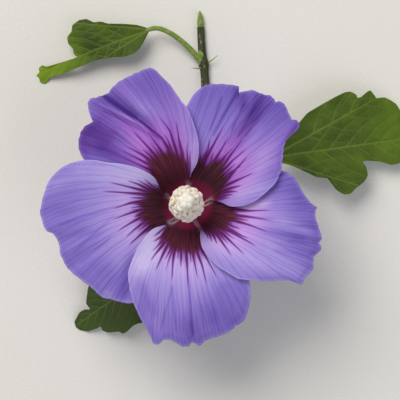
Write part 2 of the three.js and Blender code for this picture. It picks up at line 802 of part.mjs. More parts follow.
add("shoot", shootGeometry(), shootColour);
add("tip_bud", tipBudGeometry(), leafColour);
for (const [name, petal] of Object.entries(PETALS)) add(name, petalGeometry(petal), petalColour);
add("staminal_column", columnGeometry(), stamenColour);
add("anther_mass", antherGeometry(), stamenColour);
add("stigma", stigmaGeometry(), stigmaColour);
add("calyx", calyxGeometry(), calyxColour);
for (let i = 0; i < BRACT_COUNT; i++) {
  const angle = (360 * (i + BRACT_TURN)) / BRACT_COUNT;
  add(`epicalyx_bract_${i + 1}`, bractGeometry(angle), calyxColour);
}
add("pedicel", seated(pedicelTube(), shootRoom, calyxRoom()), calyxColour);
for (const [name, leaf] of Object.entries(LEAVES)) {
  const foot = shootPoint(NODES[leaf.node]);
  const side = Math.sign(leaf.base[0] - foot.x);
  const away = toDegrees(Math.atan2(Math.abs(leaf.base[0] - foot.x), leaf.base[1] - foot.y));
  const inner = { ...INNER_STIPULE_PLACE, angle: away + INNER_STIPULE_PLACE.angle };
  const outgrowth = (...places) => nodeOutgrowth(leaf, ...places);
  const outerStipule = outgrowth(-side, OUTER_STIPULE_PLACE, STIPULE_LENGTH, stipuleRadius);
  const innerStipule = outgrowth(side, inner, STIPULE_LENGTH, stipuleRadius);
  add(`${name}_blade`, leafGeometry(leaf), leafColour);
  add(`${name}_petiole`, seated(petioleTube(leaf), shootRoom), leafColour);
  add(`${name}_stipule_outer`, outerStipule, calyxColour);
  add(`${name}_stipule_inner`, innerStipule, calyxColour);
  if (leaf.bud) add(`${name}_bud`, outgrowth(side, BUD_PLACE, BUD_LENGTH, budRadius), leafColour);
}

export default sprig;
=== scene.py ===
import math

import bpy
import numpy as np
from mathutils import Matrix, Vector


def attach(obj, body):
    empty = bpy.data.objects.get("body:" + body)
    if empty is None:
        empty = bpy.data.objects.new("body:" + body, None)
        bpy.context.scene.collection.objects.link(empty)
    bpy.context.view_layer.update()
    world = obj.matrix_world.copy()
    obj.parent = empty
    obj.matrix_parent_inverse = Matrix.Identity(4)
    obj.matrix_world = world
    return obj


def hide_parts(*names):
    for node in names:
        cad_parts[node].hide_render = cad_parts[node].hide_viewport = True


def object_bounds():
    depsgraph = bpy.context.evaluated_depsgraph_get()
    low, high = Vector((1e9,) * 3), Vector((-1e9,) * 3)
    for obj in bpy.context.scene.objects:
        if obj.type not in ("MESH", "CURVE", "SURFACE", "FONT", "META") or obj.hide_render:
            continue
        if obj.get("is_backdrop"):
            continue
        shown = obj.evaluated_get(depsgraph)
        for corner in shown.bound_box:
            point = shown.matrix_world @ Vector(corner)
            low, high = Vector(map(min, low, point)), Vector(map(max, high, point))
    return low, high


# A cut flowering sprig of rose of sharon, Hibiscus syriacus, lying on a pale surface. One open
# bloom faces up, five overlapping petals round a column of joined stamens. Under it are the
# calyx, its bracts and the stalk, and behind it a stretch of leafy shoot with three leaves.
# Shapes are worked out in millimetres from the bloom's axis, and in_frame() turns them into the
# metres of the frame.

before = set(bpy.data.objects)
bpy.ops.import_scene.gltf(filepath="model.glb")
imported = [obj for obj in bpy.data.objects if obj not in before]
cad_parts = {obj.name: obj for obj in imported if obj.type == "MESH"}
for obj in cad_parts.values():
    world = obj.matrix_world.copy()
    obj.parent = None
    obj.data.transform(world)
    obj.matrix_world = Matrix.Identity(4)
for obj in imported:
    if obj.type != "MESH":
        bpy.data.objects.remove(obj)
CAD_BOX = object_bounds()

MM = 0.001
ORIGIN = np.array([16.13, 10.24, 0.0])  # centre of the sprig's box, from the bloom's axis

# ---- the bloom's own sizes ------------------------------------------------------------

# The petals stand on the receptacle and follow a funnel that flares more and more towards their
# rim. Lengths are in mm, angles in degrees.
RECEPTACLE_Z = 12
THROAT_RADIUS = 2.4
FUNNEL_DEPTH = 28
FUNNEL_FLARE = 7.6
BLOOM_LEAN = math.tan(math.radians(4))
COLUMN_LEAN = math.tan(math.radians(1.5))
COLUMN_LEANS_TO = 135
COLUMN_BENDS_FROM = 10

PETAL_THICKNESS = 0.3
PETAL_SPACING = 72
PETAL_TWIST = 1.25  # that each petal's clockwise edge stands over its middle
TWIST_STARTS = (3.5, 9)  # radii over which it comes in
RIM_FROM = 29  # where the petals start to droop
RIM_SPAN = 14
RIM_BLEND = (26.5, 29.5)  # radii over which the margin takes up the rim's own notches
RIM_ROUGHNESS = 0.12
RIM_CURL = 0.5
RUFFLE = 0.28
PUCKER = 0.012
# A petal's narrow foot, its claw
CLAW_START = 2.75
CLAW_END = 6.5
CLAW_FOOT_HALF_WIDTH = 1.4
CLAW_SHARE = 0.1  # of a petal's rows lie in its claw
PETAL_COLUMNS = 400
PETAL_ROWS = 106

# The margin's points: radii at its sides, angles at its rim, and the side under the next petal
SIDE_RADII = [10.5, 14, 20, 27]
RIM_ANGLES = range(-28, 45, 6)
HIDDEN_SIDE = [(10.5, 44), (14, 48), (20, 51), (27, 50)]
WIDE_HIDDEN_SIDE = [(10.5, 44), (14, 48), (24, 51), (34, 51.5)]
# A fold comes in over the rise, and drifts from its near place to its far one
FOLD_RISE = 14
FOLD_NEAR = 22
FOLD_DRIFT = 8

# Veins fan out of the eye faster than the petal's own rows do, and settle further out
VEIN_HALF_SPAN = 45  # degrees from a petal's middle vein to its last one
VEIN_FLOW_FROM = 22
MAIN_VEINS = 24
FINE_VEINS = 90
VEIN_WAVER = 0.006
MAIN_VEIN_DEPTH = 0.045
FINE_VEIN_DEPTH = 0.015
MAIN_VEIN_HALF_WIDTH = 0.15
FINE_VEIN_HALF_WIDTH = 0.1
STREAK_DEPTH = 0.04
STREAK_ROOT = 3  # mm that a streak reaches into the eye
STREAK_HALF_WIDTHS = (0.52, 0.22)
STREAK_INK = 1.35
FRINGE_LINES = 64
FRINGE_LENGTHS = (1.2, 4.6)
EYE_EDGE = (-1.0, 2.2)  # mm outside and inside its radius, over which the eye darkens
EYE_TEETH = (1.5, 0.7)  # mm that fine and broad teeth reach out of the eye
EYE_GLOW = 0.95
BASE_TONE = 0.19
OUTER_TONE = 0.2
VEIN_TONES = (0.16, 0.1)  # how much deeper the main and the fine veins are
# how much paler the very rim is painted: a painted highlight where the margin catches the light
PAINTED_RIM_HIGHLIGHT = 0.18
BLUSH_AT = (2, 6.5)  # mm past the eye, and how broad
DAWN_AT = (3.5, 5.5)  # the same for the paler band

# Each petal: the angle of its axis, its outline and its looks. Places on a petal are a radius in
# mm and an angle in degrees from its axis. claw is the claw's half width at its top, on the
# clockwise side and on the other. side is the clockwise margin at SIDE_RADII, rim the margin that
# shows, and hidden the rest, which lies under the next petal. droop is how far the rim hangs. A
# fold is its place across near the eye and far out, from -1 at the clockwise margin to 1 at the
# other, its height, its width and the radius where it starts. eye is the dark eye's radius at each
# angle. flow is how the veins swing and part, as petal_flow() says, and glow the radii between
# which the crimson of the throat fades. tone is the shade of the plain violet; on the two upper
# petals, which face away from the light, their deeper tone is partly painted shade. blush is how
# pink it is round the eye, dawn how much paler it is there, and ember how much crimson is in the
# eye. A streak is a dark vein that leaves the eye: its strength, and places from its root to its
# tip. A stroke is a soft line of another shade: two places, its half width, and how much deeper
# and pinker it is. Some strokes are painted shade, in creases, under a neighbouring petal's margin
# and under curled rims, and some paler ones are painted highlights along the ridges of folds; the
# rest are the petal's own darker, paler and pinker bands.
PETALS = {
    "petal_upper_left": {
        "axis": 118, "claw": (3.55, 4.4), "side": [-34, -40, -37, -30],
        "rim": [
            (-29.7, 27.2), (-27.4, 29.6), (-24.6, 31.4), (-21.9, 33.9), (-19.6, 36.8), (-16.4, 39.9),
            (-14.6, 42.2), (-12.3, 43.5), (-7.6, 43.3), (-3.1, 43.2), (0.8, 43.2), (4.6, 42.8), (7, 42.2),
            (9.1, 42.6), (11.3, 43), (12.6, 43), (14.5, 44), (16.6, 43.7), (18.3, 42.1), (19.8, 40.2),
            (20.9, 38.6), (22.4, 39), (24.2, 39.6), (27.6, 39.8), (31.4, 38.9), (34.8, 37.7),
            (37.3, 35.9), (38.7, 34.6), (44, 32.5),
        ],
        "droop": 0.6,
        "folds": [(-0.3, 0.04, -2.0, 0.05, 20), (-0.27, 0.13, 1.3, 0.045, 18)],
        "eye": [
            (-42, 7), (-31, 9), (-27.8, 12.6), (-22.8, 14.1), (-20, 16.7), (-12, 18), (-1.9, 18.6),
            (6.7, 19.3), (14.9, 18.6), (18.9, 16.6), (26, 14.5), (45, 11),
        ],
        "flow": (0.38, 0.002), "glow": (6.6, 10.4), "blush": 0.95, "tone": 0.16, "dawn": 0.1, "ember": 0.15,
        "streaks": [
            (0.5, (13.2, -30.5), (15.5, -30.2), (17.2, -31)),
            (0.55, (13.2, -27.8), (16.9, -26.9), (20.2, -28)),
            (0.9, (16, -21.8), (20.1, -20.1), (27, -19.9)),
            (0.85, (17, -15.9), (23.2, -14.3), (29.1, -9.7)),
            (0.6, (17.5, -11.5), (20.5, -10.8), (23.5, -9.5)), (0.85, (18, -9), (22, -6.7), (26.5, -1.6)),
            (0.9, (16.5, -2.5), (20.3, -1), (26.4, 1.3)), (0.5, (17.5, 1.5), (20, 2.2), (23, 3.6)),
            (1, (17.5, 5), (21.6, 6.6), (29.4, 9.1)), (0.6, (18.5, 8.8), (20.4, 10.2), (22.6, 11.8)),
            (0.95, (16.4, 10.6), (20.7, 14), (27.4, 19.3)),
            (0.65, (17.1, 15.3), (22.6, 20.3), (27.6, 23.1)), (0.65, (16.1, 18.9), (19.3, 22), (27, 27)),
        ],
        "strokes": [
            ((40, 12), (31, 8), 11, 0.03, 0.28), ((36.8, -23.3), (20, -35), 2.6, -0.03, 0.2),
            ((20, -35), (12.4, -33.5), 1.8, -0.17, 0.2), ((42.1, 9.6), (31.5, 3.3), 0.85, 0.62, 0),
            ((41.8, 9.4), (31.9, 3.2), 0.35, 0.4, 0), ((31.5, 3.3), (22.1, -6), 0.5, 0.52, 0.1),
            ((34.8, 8.6), (23.4, -3.4), 0.26, -0.14, 0.12), ((40.8, 13.4), (30.4, 5), 0.3, -0.12, 0),
            ((38.5, 13.9), (24.3, 0.6), 0.2, 0.2, 0.1), ((37.4, -17.2), (23.1, -18.9), 5, 0, 0.15),
            ((31.5, 10.4), (22.4, 5.3), 2.2, 0.02, 0.5), ((41, 3.4), (31.9, -3), 1.6, -0.06, 0),
            ((39, 23.8), (29.8, 23.3), 3.6, 0.3, 0.25), ((40.3, 26.3), (36.3, 35.5), 2.4, 0.16, 0.3),
            ((34.3, 30.9), (22.1, 23.2), 2, 0.22, 0.2), ((43.5, 16.8), (40.4, 17.4), 1.8, -0.1, 0),
            ((41.8, 1.8), (30.4, -6.7), 2.6, -0.1, 0), ((28.1, -2.2), (20.6, -3.3), 2.2, 0.12, 0.1),
            ((26.4, -16), (19.8, -15.4), 1.4, 0.1, 0.1), ((32.6, 17.5), (18.2, 12), 0.5, 0.1, 0.1),
        ],
    },
    "petal_upper_right": {
        "axis": 46, "claw": (3.3, 6.1), "side": [-39.5, -47.5, -43.5, -33],
        "rim": [
            (-33, 27), (-25.9, 30.4), (-22.3, 31.3), (-15.4, 33.9), (-12.8, 35.7), (-11.8, 38.2),
            (-11.6, 40.5), (-10.5, 41.9), (-8, 42.1), (-6.6, 41), (-3.2, 41.8), (0.5, 42.7), (2.8, 42.4),
            (3.6, 41.2), (4.7, 41.7), (7.3, 42.1), (9.8, 41), (12.4, 40.6), (15.3, 40.1), (18.9, 38.1),
            (20.2, 37.3), (20.8, 39.4), (24.7, 38.9), (28.3, 38.4), (32.8, 37.8), (36.9, 36.6),
            (39.1, 35.4), (41.4, 33.7), (43.3, 31.8), (45.1, 30), (47, 28.5), (50, 27.4),
        ],
        "droop": 1.4,
        "folds": [
            (-0.05, 0.01, -0.9, 0.045, 22), (0.45, 0.13, -0.8, 0.04, 26), (0.52, 0.21, 0.5, 0.045, 26),
            (0.1, 0.08, 0.35, 0.03, 24),
        ],
        "eye": [
            (-45, 8), (-34.6, 10.7), (-25.3, 12.3), (-20.2, 13.4), (-11.3, 15), (-2.1, 16.5), (6.7, 17.6),
            (16.4, 15.8), (27.4, 15.7), (45, 13),
        ],
        "flow": (-0.1, -0.008), "glow": (6.6, 10.6), "blush": 1, "tone": 0.2, "dawn": 0.06, "ember": 0.02,
        "streaks": [
            (0.6, (10.4, -33.4), (11.7, -33.7), (13.4, -35.4)),
            (0.65, (11.3, -29.7), (12.8, -30.8), (14.6, -32.6)),
            (0.75, (12.3, -25.8), (14.2, -28.2), (16.2, -31)),
            (0.85, (13, -23), (15.5, -24.6), (17.8, -26)), (0.95, (14, -18), (17.8, -19.3), (23.4, -20)),
            (0.95, (14.8, -12.2), (18.8, -8.8), (24.6, -6.6)),
            (0.7, (15.6, -8.3), (18.4, -9), (20.8, -9.7)), (0.5, (15.6, -4.6), (18, -4.7), (20, -4.9)),
            (0.7, (16, -1.3), (19.5, -0.9), (26, -2.3)), (0.9, (17, 2.8), (20.9, 3.8), (27.5, 4.2)),
            (0.65, (17, 7.3), (19.3, 6.9), (23.2, 5.5)), (0.95, (16, 13.5), (19.1, 13.1), (24.6, 13.2)),
            (0.6, (15.2, 16.4), (16.4, 17.4), (18.4, 17.9)), (1, (16.2, 23), (20.4, 21.1), (27.5, 19.4)),
            (0.9, (14.5, 26.1), (18.1, 24.3), (22, 26)),
        ],
        "strokes": [
            ((14.5, -38), (24, -31), 3, -0.17, 0.05), ((32.9, 39.7), (20.8, 28.7), 4.2, 0, -0.4),
            ((17.2, 27.5), (25.9, 27.5), 2.2, 0, -0.5), ((19.3, -18.6), (35.5, -9.9), 4.2, 0, 0.25),
            ((38.3, 20.5), (23.2, 24), 0.4, 0.26, 0), ((39.9, 8.3), (24.7, 7.5), 2.6, 0.2, 0.3),
            ((36.6, 9.5), (26, 8), 0.4, 0.14, 0.1), ((35.3, 14.9), (26.6, 13.6), 0.4, 0.14, 0.1),
            ((39.7, 4.9), (32.3, 5.4), 0.7, 0.14, 0.1), ((37.7, 18), (34.2, 13.9), 1.8, 0.2, 0.2),
            ((36.3, 5.4), (27.5, 3.9), 0.4, 0.12, 0.1), ((32.5, 0), (22.3, -3.8), 1.4, -0.08, 0.1),
            ((39.4, -8.4), (25.2, -11.5), 3.2, -0.1, 0), ((31.3, -13.9), (16.2, -26.9), 3, -0.14, 0),
            ((34.3, 26.4), (24, 27.7), 0.35, 0.2, 0), ((42.3, -9.3), (35.8, -12.6), 0.7, 0.14, 0.35),
            ((42.6, -4.3), (42.1, -9), 0.9, 0.08, 0.3), ((25.9, -26.3), (32.6, -15.4), 2, 0.02, 0.1),
            ((16.8, -2.9), (21.1, -5.1), 1.6, -0.12, 0),
        ],
    },
    "petal_right": {
        "axis": -26, "claw": (4.95, 6.05), "side": [-43, -45, -39.5, -30.5],
        "rim": [
            (-30, 27.3), (-24.1, 30.1), (-18.5, 33.3), (-13.8, 36.1), (-11, 38.2), (-10, 40.5),
            (-9.2, 42.5), (-8, 42.3), (-6.5, 42.2), (-3.8, 42.7), (-0.8, 43.1), (1.3, 42.3), (3.7, 41.8),
            (7.4, 42.9), (8.7, 42.9), (9.9, 41.9), (12.2, 42.3), (14.9, 41.2), (18.4, 39.9), (21.5, 39.1),
            (23.8, 39.2), (24.9, 39.7), (27.1, 37.6), (30.3, 36.1), (34.9, 34.8), (40.5, 33.7),
            (44.2, 32.1), (46.5, 30.4), (48.5, 28.8), (51, 27.6),
        ],
        "droop": 1.8,
        "folds": [
            (0.08, 0.03, -0.7, 0.03, 24), (0.24, 0.1, -0.7, 0.03, 24), (-0.03, -0.06, -0.3, 0.03, 28),
        ],
        "eye": [
            (-44, 7), (-32.5, 8.6), (-28.2, 9.8), (-21.2, 11.8), (-13.6, 13.3), (-6.4, 14.4), (0.2, 15),
            (7.4, 16.2), (14.6, 16.6), (22.3, 15.8), (45, 13),
        ],
        "flow": (0.1, 0.001), "glow": (5.4, 8.8), "blush": 0.8, "tone": 0.12, "dawn": 0.2, "ember": 0.1,
        "streaks": [
            (0.7, (9, -29.2), (10.6, -30.6), (12.4, -32.8)), (0.8, (10.3, -26), (11.8, -28), (13.6, -31)),
            (0.85, (11.4, -22.3), (13.2, -25), (15.2, -27.4)),
            (0.9, (12.8, -19), (16.4, -21.9), (21.5, -23.6)),
            (0.6, (13.2, -16), (15.6, -17.4), (17.5, -18.2)),
            (0.95, (13.5, -13), (17.4, -14.6), (24, -15.5)), (0.5, (13.8, -9.6), (16, -10), (18, -10.2)),
            (0.95, (14, -5.4), (18.7, -5.5), (25.4, -5.1)),
            (0.65, (16, -3.6), (19.1, -3.8), (21.6, -2.7)), (0.65, (13.8, 1.4), (15.6, 1), (17.8, 1.8)),
            (0.95, (15, 8.2), (18.7, 8.1), (27.5, 7.1)), (0.5, (15.4, 11.4), (17.6, 11.6), (19.6, 11.8)),
            (0.8, (15.8, 14.6), (19.4, 15.3), (26.5, 15.6)),
            (0.9, (15, 21.2), (19.1, 20.8), (26.5, 22.6)),
        ],
        "strokes": [
            ((25.1, 38.1), (28.9, 38.9), 1.6, 0.14, 0), ((30.9, 43.9), (34.9, 27.4), 3.4, 0.13, -0.2),
            ((13, 23.5), (24.5, 27.5), 1.2, -0.25, 0), ((24.5, 7.7), (36.3, 9.7), 1.3, 0.14, 0),
            ((32.4, 6.5), (41.6, 9.3), 0.4, 0.14, 0), ((27.9, 16.4), (37.5, 14.1), 1.4, -0.16, 0),
            ((14.8, -31.4), (32.1, -11.1), 3, -0.12, 0), ((30, -1.5), (39.4, 2.5), 0.7, 0.08, 0),
            ((26.2, -4.3), (39.9, -3), 4.4, -0.13, 0), ((34.6, -8), (41.3, -6.4), 3, -0.16, 0),
            ((16.4, 5.7), (24.3, 4.5), 1.2, 0.04, 0), ((22.7, 26.9), (29.6, 33.7), 2, 0.04, 0),
        ],
    },
    "petal_bottom": {
        "axis": -98, "claw": (5.5, 5.2), "side": [-46, -48, -41.5, -34],
        "rim": [
            (-33, 28.1), (-28.4, 30.3), (-23.6, 33), (-18, 35.8), (-13.2, 38.5), (-9.7, 40.5),
            (-7.4, 42.4), (-6.2, 43.7), (-4.6, 43.8), (-3.4, 43.2), (-2.4, 41.9), (0.8, 41.6),
            (2.8, 42.4), (5.3, 43.3), (8.2, 43.4), (9.2, 42.2), (10.3, 42.1), (12.7, 43.4), (15.4, 41.7),
            (20, 41.4), (25.4, 41), (30.2, 39.7), (34.1, 39.4), (36.8, 37.8), (40.3, 35.4), (43.5, 33.2),
            (46.5, 30.5), (47.5, 29.4),
        ],
        "droop": 2.2,
        "folds": [
            (0.14, 0.03, -0.9, 0.03, 26), (-0.72, -0.2, -0.6, 0.07, 22), (-0.9, -0.3, 0.4, 0.08, 24),
            (0.5, 0.3, -0.4, 0.05, 24),
        ],
        "eye": [
            (-48, 8), (-38, 11.3), (-31.9, 13.4), (-24.9, 14.1), (-17.4, 14.7), (-8.9, 14.9), (3.9, 15.8),
            (17, 15.5), (26.3, 14.5), (45, 10),
        ],
        "flow": (0.3, -0.009), "glow": (5.2, 8.6), "blush": 0.3, "tone": 0.055, "dawn": 0.2, "ember": 0.1,
        "streaks": [
            (0.5, (12.2, -39.7), (13.4, -40), (14.8, -40.6)),
            (0.6, (12.8, -33.1), (14.2, -34.6), (15.8, -36)),
            (0.6, (13.8, -28.4), (15.6, -29), (18.4, -29.8)),
            (0.9, (14.4, -24.6), (17.2, -25.6), (21.2, -26)),
            (0.95, (14.8, -19.5), (18, -19), (23.2, -18)),
            (0.55, (14.6, -14), (16.4, -14.4), (18.4, -14.8)),
            (0.5, (15.2, -11.4), (18.5, -11.4), (22, -10.6)),
            (0.9, (14.2, -9.2), (18, -7.1), (24.8, -3.6)), (0.45, (14, -4), (15.6, -3.6), (17, -3.2)),
            (0.7, (14, -0.8), (16.9, 0.6), (19.4, 1.3)), (0.95, (14, 5.3), (19, 7.1), (26.5, 8.1)),
            (0.5, (13.8, 9.6), (15.8, 10.6), (18, 11.2)), (0.85, (13.8, 12.6), (16.9, 14.2), (24, 15.6)),
            (0.9, (14, 18.4), (18.8, 21.1), (26.4, 21.3)), (0.85, (13.4, 24), (17.5, 27.4), (25.4, 30.1)),
        ],
        "strokes": [
            ((13.4, -37.7), (25.2, -29.4), 3.2, -0.34, 0),
            ((27.3, -24.5), (34.6, -10.5), 1.4, 0.08, 0.05), ((36.3, -9.6), (40.4, -4.2), 2, -0.1, 0.1),
            ((21.5, 7.9), (39.9, 10.2), 0.4, 0.3, 0), ((26.8, 26.6), (33.7, 36.2), 4.6, 0.16, -0.1),
            ((33.4, 18.5), (39.2, 31.9), 3.6, 0.1, 0), ((30.1, 17.3), (37.9, 20.1), 3, 0.1, 0),
            ((26.4, 31.2), (30.9, 42.4), 1.6, 0.06, 0), ((25, -3.3), (38.5, 2.5), 0.35, 0.14, 0),
            ((25.9, -2.9), (39.9, -4.4), 0.35, 0.12, 0), ((35.9, 7), (40.2, 11.5), 3, 0.12, 0.1),
            ((21, -25.6), (25.9, -8.5), 2.4, -0.02, -0.1),
        ],
    },
    "petal_left": {
        "axis": -170, "claw": (5.1, 3.3), "side": [-43, -49.5, -45.2, -38],
        "hidden": WIDE_HIDDEN_SIDE,
        "rim": [
            (-37.4, 28.5), (-35.1, 31.9), (-33, 34.7), (-29.8, 37.7), (-26.3, 40.2), (-21.6, 42.5),
            (-17.9, 43.6), (-15.2, 43.9), (-11.9, 44.5), (-7.3, 45.3), (-4.8, 45.1), (-1.4, 44.5),
            (0.8, 43.8), (1.8, 42.4), (4.3, 41.5), (7.3, 41.3), (11.5, 41.9), (15.3, 41.9), (19.2, 41.4),
            (23.5, 40.3), (27, 39.5), (31.1, 38.9), (35.4, 38.8), (37.3, 38.7), (40.1, 37.5),
            (45.8, 36.2), (50.9, 34.5),
        ],
        "droop": 1.2,
        "folds": [
            (0.2, -0.05, -0.6, 0.05, 26), (0.42, 0.12, -0.6, 0.05, 24), (-0.2, -0.22, -0.35, 0.05, 26),
        ],
        "eye": [
            (-50, 9.4), (-44.3, 11), (-41, 12), (-33.7, 13.6), (-25.1, 14.4), (-17.2, 15.1), (-7.2, 15.7),
            (1.4, 15.7), (10.9, 15.1), (19.4, 14.7), (45, 11),
        ],
        "flow": (0.4, -0.006), "glow": (5.8, 9.4), "blush": 0.45, "tone": 0.045, "dawn": 0.19, "ember": 0.06,
        "streaks": [
            (0.5, (13, -39.2), (14.4, -40.2), (16, -41.2)),
            (0.55, (12.8, -36), (15.5, -36.3), (18, -36.6)),
            (0.8, (13.6, -32.4), (16.7, -32.9), (20.6, -31.6)),
            (0.9, (13.6, -28.8), (18.6, -27.2), (26, -25.6)),
            (0.95, (13.4, -25.2), (19, -21.4), (28, -18.6)),
            (0.5, (13.6, -20), (16, -18.6), (18.5, -17.2)), (1, (13.8, -16), (17.9, -12.2), (23.8, -6.3)),
            (0.5, (13.8, -10), (15.8, -8.4), (18, -6.8)), (0.9, (13.8, -6.3), (18, -2.4), (24.6, 1.6)),
            (0.45, (13.8, -1), (15.6, 0.6), (17.5, 2.2)), (0.9, (13.8, 2.4), (18, 6.6), (24, 10.8)),
            (0.75, (13.6, 8.9), (17.9, 14), (22, 17.4)), (0.5, (13.6, 14), (15.6, 16), (18, 17.6)),
            (1, (13.6, 18.3), (17.4, 21.5), (22.8, 24.4)),
        ],
        "strokes": [
            ((32, -28), (16.4, -48.2), 3.2, -0.16, 0), ((39.6, -1), (21.5, -9.1), 0.5, 0.12, 0),
            ((37.8, 12.5), (22.9, -1.5), 0.5, 0.12, 0), ((33.2, 25.7), (31.2, 41), 4, 0.12, 0),
            ((23.6, 33.3), (34.5, 44), 1.8, 0.18, 0), ((37.1, 36), (36.1, 39.1), 1, -0.15, 0),
            ((42.5, -17.7), (33.8, -30.3), 3, -0.14, 0), ((36.9, 18.4), (25.2, 12.2), 0.45, 0.1, 0),
            ((34.5, 3), (29, 11.8), 3, 0.06, 0), ((23.3, -13.6), (18.6, -3.5), 2.6, 0.02, 0),
        ],
    },
}

# The column, and its anthers in bands of height and radius. They sit in rings, two deep
COLUMN_HEIGHTS = (0.9, 35)
COLUMN_RADII = (1.8, 1.25)
COLUMN_SIDES = 60
COLUMN_STEPS = 160
COLUMN_RIDGES = (0.07, 0.025)
COLUMN_FOOT = 0.25  # mm that its foot is drawn in
ANTHER_BANDS = [(16, 2.6), (19, 3.9), (22, 5.0), (25, 5.5), (28, 5.3), (31, 4.4), (34, 2.9)]
ANTHER_SIZE = 2.2
ANTHER_FLATNESS = 0.78
ANTHER_SLIT = 0.12
ANTHER_STEP = 1.45
ANTHER_RING_STEP = 1.5
ANTHER_DEPTHS = (0.7, 1.9)
ANTHER_GIRTH = 0.98
ANTHER_DENTS = [(10, 15, 0.8), (165, 10, 0.45), (312, 13, 0.65)]  # angle, width, depth
SPENT_SHARE = 0.05
BLUSHING_SHARE = 0.6
THREAD_RADII = (0.16, 0.09)
THREAD_RISE = 1.2
GRAINS = 12  # of pollen, tried on each anther
GRAIN_RADIUS = 0.09
LOBES = 5
LOBE_RADIUS = 1.32
LOBE_SPREAD = 1.2
STIGMA_GAP = 0.3
CLAW_HAIRS = 18
HAIR_RADIUS = 0.035
HAIR_LENGTHS = (0.6, 1.4)

# The calyx hugs the funnel from its foot to the sinuses between its teeth
CALYX_SIDES = 250
CALYX_STEPS = 120
CALYX_WALL = 0.8
CALYX_CLEARANCE = (0.95, 0.036)  # off the funnel at its foot, and more for each mm up
CALYX_FLOOR = 0.2
CALYX_FOOT = -1.8
CALYX_FOOT_RADIUS = 2.1
CALYX_SINUS = 9
CALYX_TOOTH = 7.5
CALYX_TOOTH_POINT = 0.85
CALYX_RIB = 0.12
BRACT_COUNT = 7
BRACT_TURN = 0.2
BRACT_WIDTH = 1.3
BRACT_TAPER = 0.75
BRACT_THICKNESS = 0.5
BRACT_PATH = [(6.2, 0.4), (8.9, 3.4), (10.4, 7.2), (10.8, 10.5)]  # radius and height

# ---- the shoot's and the leaves' sizes ------------------------------------------------

# The shoot lies along +Y; its axis is as high as its radius, so its path only has x and y
SHOOT_PATH = [
    (5.6, -43.5, 0), (5.6, -26, 0), (5.7, -10.4, 0), (5.8, 10, 0), (5.4, 39.5, 0), (4.4, 49.5, 0),
    (3.9, 58.5, 0),
]
SHOOT_SIDES = 64
SHOOT_ROWS = 900
CUT_ROWS = 12  # rows of its grid that make the cut end
BARK_RIDGES = (0.035, 0.02)
PORES = 150
PORE_RELIEF = 0.06
SHOOT_RADII = (1.75, 1.2)
SHOOT_TAPER = 1.6
NODE_SWELLING = 0.45
NODE_LENGTH = 1.6
LEAF_SCAR = (1.1, 0.18, 0.1)  # mm below its node, half length and height
NODES = {"lower": -10.4, "middle": 11, "upper": 46.6}  # where a leaf joins it
TIP_BUD_LENGTH = 5.2
TIP_BUD_RADIUS = 1.1
# each folded leaf of the tip: its angle round the tip, how far off it is, its length and girth
TIP_SCALES = [(0, 0.0, 1.0, 0.95), (1.3, 0.5, 0.8, 0.6), (3.4, 0.5, 0.72, 0.62), (5.2, 0.45, 0.6, 0.5)]
PEDICEL_RADII = (1.35, 1.15)
PEDICEL_PATH = [
    (5.6, -9.4, 1.6), (5.2, -8.6, 2.4), (3.7, -7.0, 5.6), (1.4, -3.6, 8.2), (0, -2.05, 10.6),
]

LEAF_THICKNESS = 0.3
LEAF_FALL = 1.4
LEAF_COLUMNS = 130
LEAF_ROWS = 320
LEAF_VEIN_LEAN = 0.6
LEAF_VEIN_HALF_WIDTHS = (0.3, 0.2, 0.14)  # of a main vein, and of a side vein near and far out
SIDE_VEIN_ANGLES = (48, 38)  # with its main vein, at that vein's foot and at its tip
SIDE_VEIN_REACH = (0.42, 2.5)  # share of the rest of the main vein, and mm more
LEAF_BULGE = 0.32
LEAF_WAVES = (0.5, 0.25)  # mm, of the margins and of the whole blade
LEAF_LOWEST = 0.2
